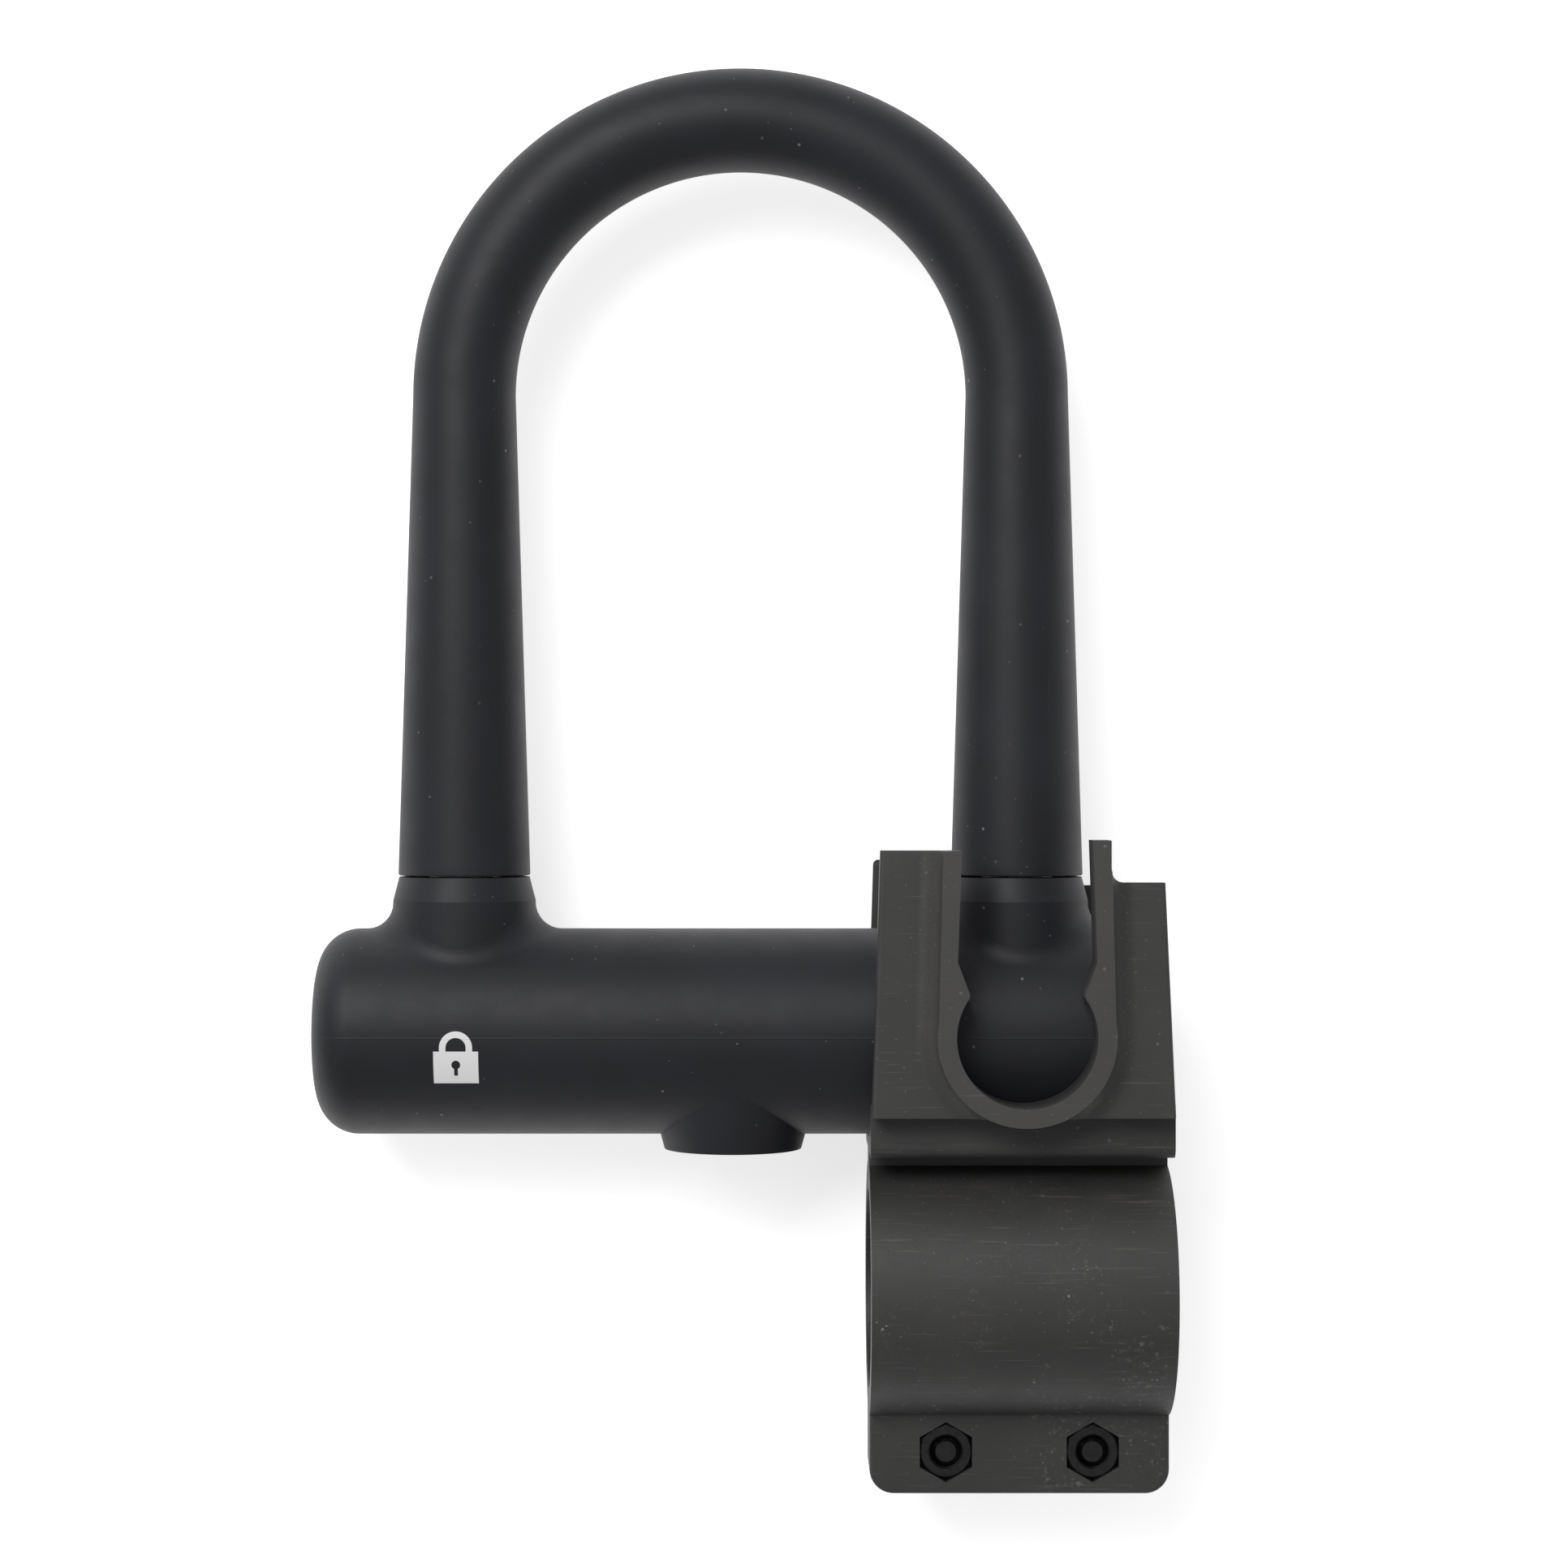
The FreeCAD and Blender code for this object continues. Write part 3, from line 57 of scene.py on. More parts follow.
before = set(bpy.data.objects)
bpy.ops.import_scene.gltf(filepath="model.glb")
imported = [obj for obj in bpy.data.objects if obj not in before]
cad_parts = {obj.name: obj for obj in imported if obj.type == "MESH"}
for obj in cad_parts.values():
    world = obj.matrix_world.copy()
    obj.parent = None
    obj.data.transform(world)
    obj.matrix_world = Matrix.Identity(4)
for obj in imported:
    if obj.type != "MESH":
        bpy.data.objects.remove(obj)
CAD_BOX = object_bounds()

MM = 0.001


def span(node):
    """Lowest and highest corner of a CAD node, as arrays in metres."""
    low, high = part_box(node)
    return np.array(low), np.array(high)


# Places and sizes read from the frame.
TUBE_LOW, TUBE_HIGH = span("crossbar_tube")
BAR_CENTRE = (TUBE_LOW + TUBE_HIGH) / 2
COVER_LOW, COVER_HIGH = span("shackle_sleeve")
STEEL_LOW, STEEL_HIGH = span("shackle")
BEZEL_LOW, BEZEL_HIGH = span("keyhole_bezel")
SHUTTER_BACK = span("keyhole_shutter")[1][1]
ROD_RADIUS = STEEL_HIGH[2]
LEG_REACH = (STEEL_HIGH[0] - STEEL_LOW[0]) / 2 - ROD_RADIUS
ARCH_RISE = STEEL_HIGH[1] - ROD_RADIUS - LEG_REACH
FOOT_RADIUS = COVER_HIGH[2]
ARCH_RADIUS = COVER_HIGH[1] - ARCH_RISE - LEG_REACH


# ------------------------------------------------------------------- shader maths

class Signal:
    """A shader socket; an expression on signals adds the Math nodes that work it out."""

    def __init__(self, finish, socket):
        self.finish = finish
        self.socket = socket

    def maths(self, operation, *terms):
        inputs = dict(enumerate(terms))
        return self.finish.node("ShaderNodeMath", {"operation": operation}, inputs)

    def __add__(self, other):
        return self.maths("ADD", self, other)

    def __radd__(self, other):
        return self.maths("ADD", other, self)

    def __sub__(self, other):
        return self.maths("SUBTRACT", self, other)

    def __rsub__(self, other):
        return self.maths("SUBTRACT", other, self)

    def __mul__(self, other):
        return self.maths("MULTIPLY", self, other)

    def __rmul__(self, other):
        return self.maths("MULTIPLY", other, self)

    def __pow__(self, other):
        return self.maths("POWER", self, other)

    def __gt__(self, other):
        return self.maths("GREATER_THAN", self, other)

    def __abs__(self):
        return self.maths("ABSOLUTE", self)

    def least(self, other):
        return self.maths("MINIMUM", self, other)

    def most(self, other):
        return self.maths("MAXIMUM", self, other)

    def rise(self, start, end):
        """Smooth step from 0 to 1 between two input values, or down when start is larger."""
        up = start < end
        inputs = {"Value": self, "From Min": min(start, end), "From Max": max(start, end)}
        inputs.update({"To Min": 0.0 if up else 1.0, "To Max": 1.0 if up else 0.0})
        return self.finish.node(
            "ShaderNodeMapRange", {"interpolation_type": "SMOOTHSTEP"}, inputs, "Result")


def hypotenuse(first, second):
    """Distance from the origin to a point given by two signals."""
    return (first * first + second * second) ** 0.5


class Finish:
    """A Principled material; its node method adds any other node."""

    def __init__(self, name, colour, roughness, metallic=0.0, constants=()):
        self.material = bpy.data.materials.new(name)
        self.material.use_nodes = True
        self.tree = self.material.node_tree
        self.shader = self.tree.nodes["Principled BSDF"]
        self.colour = tuple(colour)
        self.shader.inputs["Base Color"].default_value = (*self.colour, 1)
        self.shader.inputs["Roughness"].default_value = roughness
        self.shader.inputs["Metallic"].default_value = metallic
        for socket, number in constants:
            self.shader.inputs[socket].default_value = number
        coordinates = self.tree.nodes.new("ShaderNodeTexCoord")
        self.place = Signal(self, coordinates.outputs["Object"])

    def node(self, kind, settings, inputs, output=0):
        """Add a node, set it up, feed its sockets and give back one of its outputs."""
        added = self.tree.nodes.new(kind)
        for name, setting in settings.items():
            setattr(added, name, setting)
        for key, item in inputs.items():
            if isinstance(item, Signal):
                self.tree.links.new(item.socket, added.inputs[key])
            else:
                added.inputs[key].default_value = item
        return Signal(self, added.outputs[output])

    def axes(self):
        """The three object coordinates as numbers."""
        split = self.node("ShaderNodeSeparateXYZ", {}, {0: self.place})
        outputs = split.socket.node.outputs
        return [Signal(self, outputs[index]) for index in range(3)]

    def stretched(self, scale):
        """Object coordinates scaled along each axis, for grain and scratches."""
        inputs = {0: self.place, 1: scale}
        return self.node("ShaderNodeVectorMath", {"operation": "MULTIPLY"}, inputs)

    def noise(self, scale, detail=2.0, roughness=0.5, place=None):
        """Noise between 0 and 1; the scale is in cells per metre."""
        inputs = {"Vector": place or self.place, "Scale": scale, "Detail": detail}
        inputs["Roughness"] = roughness
        return self.node("ShaderNodeTexNoise", {}, inputs, "Fac")

    def specks(self, scale, share, size):
        """Scattered dots: near the centre of a cell, in the given share of the cells."""
        inputs = {"Vector": self.place, "Scale": scale}
        cells = self.node("ShaderNodeTexVoronoi", {}, inputs, "Distance")
        tint = Signal(self, cells.socket.node.outputs["Color"])
        chance = self.node("ShaderNodeSeparateColor", {}, {0: tint}, "Red")
        reach = self.node("ShaderNodeSeparateColor", {}, {0: tint}, "Green")
        return cells.rise(size, size * 0.5) * (chance > 1.0 - share) * reach

    def blend(self, mask, first, second):
        """Mix two colours, each a tuple or a signal, by a mask."""
        ends = [end if isinstance(end, Signal) else (*end, 1) for end in (first, second)]
        inputs = {0: mask, 6: ends[0], 7: ends[1]}
        return self.node("ShaderNodeMix", {"data_type": "RGBA"}, inputs, 2)

    def paint(self, colour, roughness):
        """Feed the shader's colour and roughness from signals."""
        self.tree.links.new(colour.socket, self.shader.inputs["Base Color"])
        self.tree.links.new(roughness.socket, self.shader.inputs["Roughness"])

    def emboss(self, height, depth, strength):
        """Bump from a height signal between 0 and 1, depth metres deep."""
        inputs = {"Strength": strength, "Distance": depth, "Height": height}
        bump = self.node("ShaderNodeBump", {}, inputs, "Normal")
        self.tree.links.new(bump.socket, self.shader.inputs["Normal"])


def lighter(colour, factor):
    """A colour with each channel multiplied, up to full."""
    return tuple(min(1.0, channel * factor) for channel in colour)


# ---------------------------------------------------------------------- finishes

DUST = (0.32, 0.32, 0.33)
RUBBED = (0.3, 0.29, 0.28)
FLECK = (0.42, 0.41, 0.39)
INK = (0.86, 0.86, 0.86)
SEAM_HALF_WIDTH = 0.16 * MM
# The padlock pictogram's place, left of and below the middle of the crossbar.
PADLOCK_LEFT, PADLOCK_DOWN = 54.2 * MM, 5.4 * MM
INK_EDGE = 0.05 * MM
FINE_GRAIN = 0.05 * MM
MACHINED_GRAIN = 0.02 * MM
# The clamp loop is rubbed below the first height up the lock and fully at the second.
WORN_NONE, WORN_FULL = 30.0 * MM, -5.0 * MM
# Painted highlight: the front rims are drawn paler between these two heights above the mid-plane,
# in place of light falling on them.
RIM_HIGHLIGHT_FROM, RIM_HIGHLIGHT_FULL = 23.5 * MM, 27.5 * MM


def silicone(name, colour, marks=None):
    """Matt silicone: faint clouds, fine grain, a little dust; marks adds to a piece's own look."""
    finish = Finish(name, colour, 0.5, constants=(("IOR", 1.41), ("Specular IOR Level", 0.5)))
    clouds = finish.noise(45.0, 3.0)
    tone = finish.blend(clouds.rise(0.3, 0.75), lighter(colour, 0.86), lighter(colour, 1.18))
    dust = finish.specks(420.0, 0.05, 0.16) + finish.specks(900.0, 0.03, 0.2) * 0.7
    tone = finish.blend(dust.least(1.0) * 0.5, tone, DUST)
    grain = finish.noise(2600.0, 2.0)
    rough = 0.47 + finish.noise(160.0, 3.0) * 0.12
    height = grain * 0.6 + finish.noise(500.0, 2.0) * 0.4
    if marks:
        tone, rough, height = marks(finish, tone, rough, height)
    finish.paint(tone, rough)
    finish.emboss(height, FINE_GRAIN, 0.5)
    return finish.material


def bar_marks(finish, tone, rough, height):
    """The crossbar's parting line and its printed padlock pictogram."""
    x, y, z = finish.axes()
    off_plane = abs(y - float(BAR_CENTRE[1]))
    seam = off_plane.rise(SEAM_HALF_WIDTH, SEAM_HALF_WIDTH / 4)
    height = height + seam * 1.6
    tone = finish.blend(seam * 0.15, tone, lighter(finish.colour, 2.0))

    across = x - float(BAR_CENTRE[0] - PADLOCK_LEFT)
    up = y - float(BAR_CENTRE[1] - PADLOCK_DOWN)

    def inside(distance):
        return distance.rise(INK_EDGE, -INK_EDGE)

    def bar(half_width, half_height, centre):
        return (abs(across) - half_width).most(abs(up - centre) - half_height)

    body = bar(4.3 * MM, 3.1 * MM, -0.2 * MM)
    loop_up = up - 3.6 * MM
    bow_radius, bow_half_width, bow_leg = 2.55 * MM, 0.62 * MM, 1.2 * MM
    bow = abs(hypotenuse(across, loop_up.most(0.0)) - bow_radius) - bow_half_width
    bow = bow.most(-1.0 * loop_up - bow_leg)
    eye = hypotenuse(across, up - 0.3 * MM) - 0.85 * MM
    slot = bar(0.36 * MM, 0.9 * MM, -0.9 * MM)
    ink = inside(body.least(bow)) * (1.0 - inside(eye.least(slot))) * (z > 0.0)
    tone = finish.blend(ink, tone, INK)
    rough = rough - ink * 0.1
    return tone, rough, height


def moulded_nylon(name, colour, wear_and_rim_highlight=True):
    """Satin moulded nylon: soft mottling, and on worn pieces rubbed specks, fine scratches and a
    painted highlight that makes the front rims paler.
    """
    finish = Finish(name, colour, 0.5, constants=(("IOR", 1.5), ("Specular IOR Level", 0.5)))
    clouds = finish.noise(60.0, 4.0, 0.6)
    tone = finish.blend(clouds.rise(0.3, 0.7), lighter(colour, 0.9), lighter(colour, 1.12))
    rough = 0.46 + finish.noise(220.0, 3.0) * 0.12
    height = finish.noise(1500.0, 3.0) * 0.7 + finish.noise(260.0, 2.0) * 0.5
    # Wear marks, and a painted highlight on the front rims.
    if wear_and_rim_highlight:
        _, y, z = finish.axes()
        patch = finish.noise(38.0, 3.0, 0.7).rise(0.46, 0.64) * y.rise(WORN_NONE, WORN_FULL)
        rub = finish.noise(900.0, 4.0, 0.75).rise(0.56, 0.66) * patch
        fleck = finish.specks(480.0, 0.1, 0.2) + finish.specks(1100.0, 0.12, 0.24)
        fleck = fleck.least(1.0)
        line = finish.noise(1.0, 2.0, 0.5, finish.stretched((70.0, 2600.0, 2600.0)))
        line = line.rise(0.64, 0.7)
        # Painted highlight: the faces nearest the front are blended towards a paler colour,
        # standing in for light falling on them.
        painted_rim_highlight = z.rise(RIM_HIGHLIGHT_FROM, RIM_HIGHLIGHT_FULL)
        tone = finish.blend(painted_rim_highlight * 0.55, tone, lighter(colour, 1.9))
        tone = finish.blend(rub * 0.3, tone, RUBBED)
        tone = finish.blend((fleck * (0.35 + patch)).least(1.0) * 0.55, tone, FLECK)
        tone = finish.blend(line * 0.12, tone, RUBBED)
        height = height + rub * 0.5
    finish.paint(tone, rough)
    finish.emboss(height, FINE_GRAIN, 0.5)
    return finish.material


def ground_steel(name, colour, along):
    """Ground steel: fine lines along the direction the piece was ground in."""
    finish = Finish(name, colour, 0.3, 1.0)
    lines = finish.noise(1.0, 3.0, 0.6, finish.stretched(along))
    tone = finish.blend(lines, lighter(colour, 0.82), lighter(colour, 1.1))
    finish.paint(tone, 0.24 + lines * 0.2)
    finish.emboss(lines, MACHINED_GRAIN, 0.4)
    return finish.material


def zinc_plate(name, colour):
    """Zinc-plated steel: small crystals with a faint difference in brightness."""
    finish = Finish(name, colour, 0.35, 1.0)
    crystals = {"Vector": finish.place, "Scale": 1400.0}
    cells = finish.node("ShaderNodeTexVoronoi", {}, crystals, "Color")
    level = finish.node("ShaderNodeSeparateColor", {}, {0: cells}, "Red")
    tone = finish.blend(level, lighter(colour, 0.85), lighter(colour, 1.08))
    finish.paint(tone, 0.3 + finish.noise(700.0, 3.0) * 0.18)
    finish.emboss(finish.noise(1800.0, 2.0), MACHINED_GRAIN, 0.3)
    return finish.material


def turned_brass(name, colour):
    """Brass with fine turning rings along the cylinder's axis and a little tarnish."""
    finish = Finish(name, colour, 0.3, 1.0)
    rings = finish.noise(1.0, 2.0, 0.5, finish.stretched((60.0, 3600.0, 60.0)))
    tarnish = finish.noise(180.0, 4.0, 0.65).rise(0.45, 0.75)
    tone = finish.blend(tarnish * 0.6, colour, lighter(colour, 0.55))
    finish.paint(tone, 0.26 + rings * 0.12 + tarnish * 0.15)
    finish.emboss(rings, MACHINED_GRAIN, 0.4)
    return finish.material


# ----------------------------------------------------------------------- meshes

WELD = 0.001 * MM
FLAT_WITHIN = 0.4
BEVEL_SEGMENTS = 3


def grid_faces(rows, columns, close_rows=False):
    """Quads of a grid of points whose columns go round, as an array of corner numbers."""
    row = np.arange(rows if close_rows else rows - 1)
    row, column = np.meshgrid(row, np.arange(columns), indexing="ij")
    next_row = (row + 1) % rows
    next_column = (column + 1) % columns
    corners = (row * columns + column, row * columns + next_column,
               next_row * columns + next_column, next_row * columns + column)
    return np.stack(corners, axis=-1).reshape(-1, 4)


def put_mesh(name, points, faces, material, body):
    """Make a smooth piece from arrays of points and quads, with its faces pointing out."""
    mesh = bpy.data.meshes.new(name)
    mesh.from_pydata(points.reshape(-1, 3).tolist(), [], faces.tolist())
    work = bmesh.new()
    work.from_mesh(mesh)
    bmesh.ops.remove_doubles(work, verts=work.verts, dist=WELD)
    bmesh.ops.dissolve_degenerate(work, edges=work.edges, dist=WELD / 2)
    bmesh.ops.recalc_face_normals(work, faces=work.faces)
    work.to_mesh(mesh)
    work.free()
    mesh.polygons.foreach_set("use_smooth", np.full(len(mesh.polygons), True))
    piece = bpy.data.objects.new(name, mesh)
    bpy.context.scene.collection.objects.link(piece)
    piece.data.materials.append(material)
    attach(piece, body)
    return piece


def turned(stations, columns, centre, along="Z", ring=False):
    """Points and faces of a shape carried round an axis.

    Each station is (height, radius): a radius is a number or a function of the angle,
    so the same grid makes round, hexagonal and threaded stretches. A ring closes its last
    station onto its first.
    """
    angle = np.linspace(0.0, 2 * np.pi, columns, endpoint=False)
    rows = []
    for height, radius in stations:
        reach = radius(angle) if callable(radius) else np.full(columns, float(radius))
        level = np.full(columns, float(height))
        first, second = reach * np.cos(angle), reach * np.sin(angle)
        axes = {"Z": (first, second, level), "Y": (first, level, -second)}[along]
        rows.append(np.stack(axes, axis=-1))
    return np.array(rows) + np.array(centre), grid_faces(len(rows), columns, close_rows=ring)


def join_shapes(shapes):
    """One set of points and faces from several (points, faces) pairs."""
    all_points, all_faces, start = [], [], 0
    for points, faces in shapes:
        flat = points.reshape(-1, 3)
        all_points.append(flat)
        all_faces.append(faces + start)
        start += len(flat)
    return np.concatenate(all_points), np.concatenate(all_faces)


def rounded(start, end, steps):
    """Stations of a quarter circle between two (height, radius) points.

    The curve leaves the first point along the radius and meets the second along the height.
    """
    turn = np.linspace(0.0, np.pi / 2, steps)
    rise, reach = end[0] - start[0], end[1] - start[1]
    return [(start[0] + rise * (1 - np.cos(t)), start[1] + reach * np.sin(t)) for t in turn]


def shade_by_angle(piece, degrees):
    """Smooth shading with the edges sharper than an angle kept crisp."""
    piece.data.polygons.foreach_set("use_smooth", np.full(len(piece.data.polygons), True))
    piece.data.set_sharp_from_angle(angle=math.radians(degrees))


def finish_node(node, material):
    """Give a carried-over CAD node its material."""
    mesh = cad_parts[node].data
    mesh.materials.clear()
    mesh.materials.append(material)


def merged_copy(node, name):
    """A copy of a CAD node's surface with its loose triangles joined."""
    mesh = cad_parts[node].data.copy()
    mesh.name = name
    work = bmesh.new()
    work.from_mesh(mesh)
    bmesh.ops.remove_doubles(work, verts=work.verts, dist=WELD)
    work.to_mesh(mesh)
    work.free()
    mesh.materials.clear()
    piece = bpy.data.objects.new(name, mesh)
    bpy.context.scene.collection.objects.link(piece)
    return piece


def soften(piece, width, degrees):
    """Round the edges of a CAD copy: join its flat facets, then bevel the sharper edges."""
    work = bmesh.new()
    work.from_mesh(piece.data)
    bmesh.ops.dissolve_limit(work, angle_limit=math.radians(FLAT_WITHIN), verts=work.verts,
                             edges=work.edges)
    work.to_mesh(piece.data)
    work.free()
    shade_by_angle(piece, degrees)
    bevel = piece.modifiers.new("edges", "BEVEL")
    bevel.width = width
    bevel.segments = BEVEL_SEGMENTS
    bevel.limit_method = "ANGLE"
    bevel.angle_limit = math.radians(degrees)
    bevel.use_clamp_overlap = True
    weights = piece.modifiers.new("normals", "WEIGHTED_NORMAL")
    weights.keep_sharp = True


def softened_copy(node, name, material, width, degrees):
    """A copy of a CAD node in its own material, with the edges sharper than an angle rounded."""
    piece = merged_copy(node, name)
    soften(piece, width, degrees)
    piece.data.materials.append(material)
    return piece


# ---------------------------------------------------------------- shackle cover

def along_the_u(distance, foot):
    """Centre and outward direction on the U's centreline.

    The distance runs from the left foot up the leg, round a half circle and down the
    other leg. The turn is 0 on the left leg and a half circle on the right one.
    """
    leg = ARCH_RISE - foot
    turn = np.clip((distance - leg) / LEG_REACH, 0.0, np.pi)
    down = np.maximum(distance - leg - np.pi * LEG_REACH, 0.0)
    x = BAR_CENTRE[0] - LEG_REACH * np.cos(turn)
    y = foot + np.minimum(distance, leg) + LEG_REACH * np.sin(turn) - down
    centre = np.stack([x, y, np.zeros_like(x)], axis=-1)
    outward = np.stack([-np.cos(turn), np.sin(turn), np.zeros_like(x)], axis=-1)
    return centre, outward


def shackle_cover_surface(lip, columns=96):
    """A round section carried along the U.

    Its radius grows evenly from the arch to each foot. Each foot ends in a quarter-round
    lip, a flat ring and the bore round the steel, which leads back to the first foot.
    """
    foot = COVER_LOW[1]
    leg = ARCH_RISE - foot
    arch = np.pi * LEG_REACH
    whole = 2 * leg + arch
    turn = np.linspace(0.0, np.pi / 2, 7)
    lip_run, lip_drop = lip * (1 - np.cos(turn)), lip * (1 - np.sin(turn))
    middle = [np.linspace(lip, leg, 50)[1:], leg + np.linspace(0, arch, 120)[1:],
              leg + arch + np.linspace(0, leg - lip, 50)[1:]]
    outside = np.concatenate([lip_run, *middle, whole - lip_run[::-1][1:]])
    share = np.clip(1 - outside / leg, 0, 1) + np.clip((outside - leg - arch) / leg, 0, 1)
    radius = ARCH_RADIUS + (FOOT_RADIUS - ARCH_RADIUS) * share
    radius[:len(lip_drop)] -= lip_drop
    radius[-len(lip_drop):] -= lip_drop[::-1]
    inside = np.concatenate([[whole], leg + np.linspace(arch, 0, 90), [0.0]])
    distance = np.concatenate([outside, inside])
    radius = np.concatenate([radius, np.full(len(inside), ROD_RADIUS)])
    centre, outward = along_the_u(distance, foot)
    angle = np.linspace(0.0, 2 * np.pi, columns, endpoint=False)
    forward = np.array([0.0, 0.0, 1.0])
    ring = (np.cos(angle)[None, :, None] * outward[:, None, :]
            + np.sin(angle)[None, :, None] * forward)
    points = centre[:, None, :] + radius[:, None, None] * ring
    return points, grid_faces(len(distance), columns, close_rows=True)


# ------------------------------------------------------------------ clamp screws

WASHER_PLAY = 0.2 * MM


def hexagon(apothem, limit=None):
    """Radius of a hexagon with a point up, cut back to a round limit where one is given."""
    def radius(angle):
        sixth = np.pi / 3
        off_flat = np.mod(angle + sixth / 2, sixth) - sixth / 2
        reach = apothem / np.cos(off_flat)
        return reach if limit is None else np.minimum(reach, limit)
    return radius


def thread(height, radius, depth, pitch):
    """Radius of a screw thread at a height: a triangle wave that climbs once a turn."""
    def reach(angle):
        phase = np.mod(height / pitch - angle / (2 * np.pi), 1.0)
        return radius - depth * np.abs(2 * phase - 1)
    return reach


def nut_stations(low, high, apothem, bore):
    """Hexagon with both faces chamfered by a cone and a countersunk bore."""
    sink = 0.4 * MM
    rise = np.linspace(0.0, 0.6 * MM, 5)
    face_radius = apothem * 0.97
    cone = [(step, hexagon(apothem, face_radius + step * math.sqrt(3))) for step in rise]
    stations = [(low, bore + sink)]
    stations += [(low + step, radius) for step, radius in cone]
    stations += [(high - step, radius) for step, radius in reversed(cone)]
    stations += [(high, bore + sink), (high - sink, bore), (low + sink, bore)]
    return stations


def screw_stations(head, under_head, tip, head_radius, shank, key):
    """Button head with a hexagon socket, and a threaded shank with a chamfered tip."""
    pitch, depth = 1.0 * MM, 0.5 * MM
    socket_cone, socket_chamfer, broken_edge = 0.2 * MM, 0.25 * MM, 0.1 * MM
    relief, point = 0.3 * MM, 0.6 * MM
    crown = 0.45 * (under_head - head)
    floor = head + 0.6 * (under_head - head)
    stations = [(floor + socket_cone, 0.0), (floor, hexagon(key)),
                (head + socket_chamfer, hexagon(key)), (head, hexagon(key * 1.12))]
    stations += rounded((head, head_radius - crown), (head + crown, head_radius), 9)
    stations += [(under_head - broken_edge, head_radius), (under_head, head_radius - broken_edge)]
    stations.append((under_head, shank))
    run = np.arange(under_head + relief, tip - point - broken_edge, pitch / 10)
    stations += [(height, thread(height, shank, depth, pitch)) for height in run]
    stations += [(tip - point, shank - depth), (tip, shank - 2 * depth), (tip, 0.0)]
    return stations


def washer_stations(low, high, bore, radius):
    """Flat washer with its rims broken."""
    edge = 0.2 * MM
    return [(low, bore), (low, radius - edge), (low + edge, radius), (high - edge, radius),
            (high, radius - edge), (high, bore)]


# ------------------------------------------------------------------ keyhole bezel

SHUTTER_GAP = 0.2 * MM
BEZEL_RIM = 0.8 * MM
KEYHOLE_RADIUS = 3.5 * MM


def bezel_stations(radius, thick, recess, rim, keyhole, edge):
    """Turned ring: rounded rim, dished face and a rounded keyhole."""
    inner = radius - rim
    stations = [(thick, radius), (edge, radius)]
    stations += rounded((0.0, radius - edge), (edge, radius), 5)[::-1][1:]
    stations += rounded((0.0, inner + edge), (edge, inner), 5)
    stations += rounded((recess - edge, inner), (recess, inner - edge), 5)
    stations += rounded((recess, keyhole + edge), (recess + edge, keyhole), 5)
    stations.append((thick, keyhole))
    return stations


# ------------------------------------------------------------------- properties

def colour_setting(name, description, default):
    """A colour property with channels from 0 to 1."""
    return FloatVectorProperty(name=name, description=description, default=default,
                               subtype="COLOR", size=3, min=0.0, max=1.0)


class ULockColours(PropertyGroup):
    """Base colours of the lock's materials."""

    silicone: colour_setting("Silicone", "Matt silicone of the shackle and the crossbar",
                             (0.0142, 0.0150, 0.0190))
    nylon: colour_setting("Nylon", "Moulded nylon of the bracket", (0.040, 0.0385, 0.0375))
    bezel: colour_setting("Bezel", "Plastic round the keyhole", (0.022, 0.022, 0.023))
    bush: colour_setting("Bush", "Nylon bushes round the shackle's feet", (0.02, 0.02, 0.021))
    steel: colour_setting("Steel", "Hardened steel of the shackle and the tube", (0.5, 0.5, 0.51))
    zinc: colour_setting("Zinc", "Black zinc plate of the clamp screws", (0.05, 0.05, 0.052))
    brass: colour_setting("Brass", "Brass of the lock cylinder", (0.62, 0.45, 0.2))
    floor: colour_setting("Floor", "Plain floor", (0.9, 0.9, 0.9))


class ULockEdges(PropertyGroup):
    """Rounding of edges."""

    cover_lip: FloatProperty(name="Cover lip", default=0.35 * MM, min=0.05 * MM, max=1.5 * MM,
                             description="Rounded lip of the shackle cover's feet",
                             unit="LENGTH")
    bracket: FloatProperty(name="Bracket", default=0.4 * MM, min=0.05 * MM, max=1.0 * MM,
                           description="Rounding of the bracket's edges", unit="LENGTH")
    keyhole: FloatProperty(name="Keyhole", default=0.25 * MM, min=0.05 * MM, max=0.5 * MM,
                           description="Rounding of the bezel and the shutter", unit="LENGTH")


class ULockStudio(PropertyGroup):
    """Camera and lights."""

    distance: FloatProperty(name="Camera distance", default=0.65, min=0.1, unit="LENGTH",
                            description="Camera above the lock's mid-plane")
    field: FloatProperty(name="Field", default=0.30912, min=0.05, unit="LENGTH",
                         description="Width of the mid-plane that the picture takes in")
    centre: FloatVectorProperty(name="Centre", default=(-0.04584, 0.09914, 0.0), size=3,
                                subtype="TRANSLATION",
                                description="Point of the mid-plane in the middle")
    key: FloatProperty(name="Key light", default=7.5, min=0.0, unit="POWER",
                       description="Power of the large light")
    key_place: FloatVectorProperty(name="Key place", default=(-0.36, 0.54, 0.92), size=3,
                                   subtype="TRANSLATION",
                                   description="Large light's place from the centre")
    key_size: FloatProperty(name="Key size", default=0.6, min=0.01, unit="LENGTH",
                            description="Side of the large light")
    fill: FloatProperty(name="Surroundings", default=0.36, min=0.0,
                        description="Strength of the white surroundings")
    glow: FloatProperty(name="Floor glow", default=0.66, min=0.0,
                        description="Light that the pale floor gives back by itself")
    floor_reach: FloatProperty(name="Floor reach", default=3.0, min=0.5, unit="LENGTH",
                               description="From the centre to each side of the floor")
    floor_gap: FloatProperty(name="Floor gap", default=0.2 * MM, min=0.0, unit="LENGTH",
                             description="Floor below the lock's lowest face")


# -------------------------------------------------------------------- operators

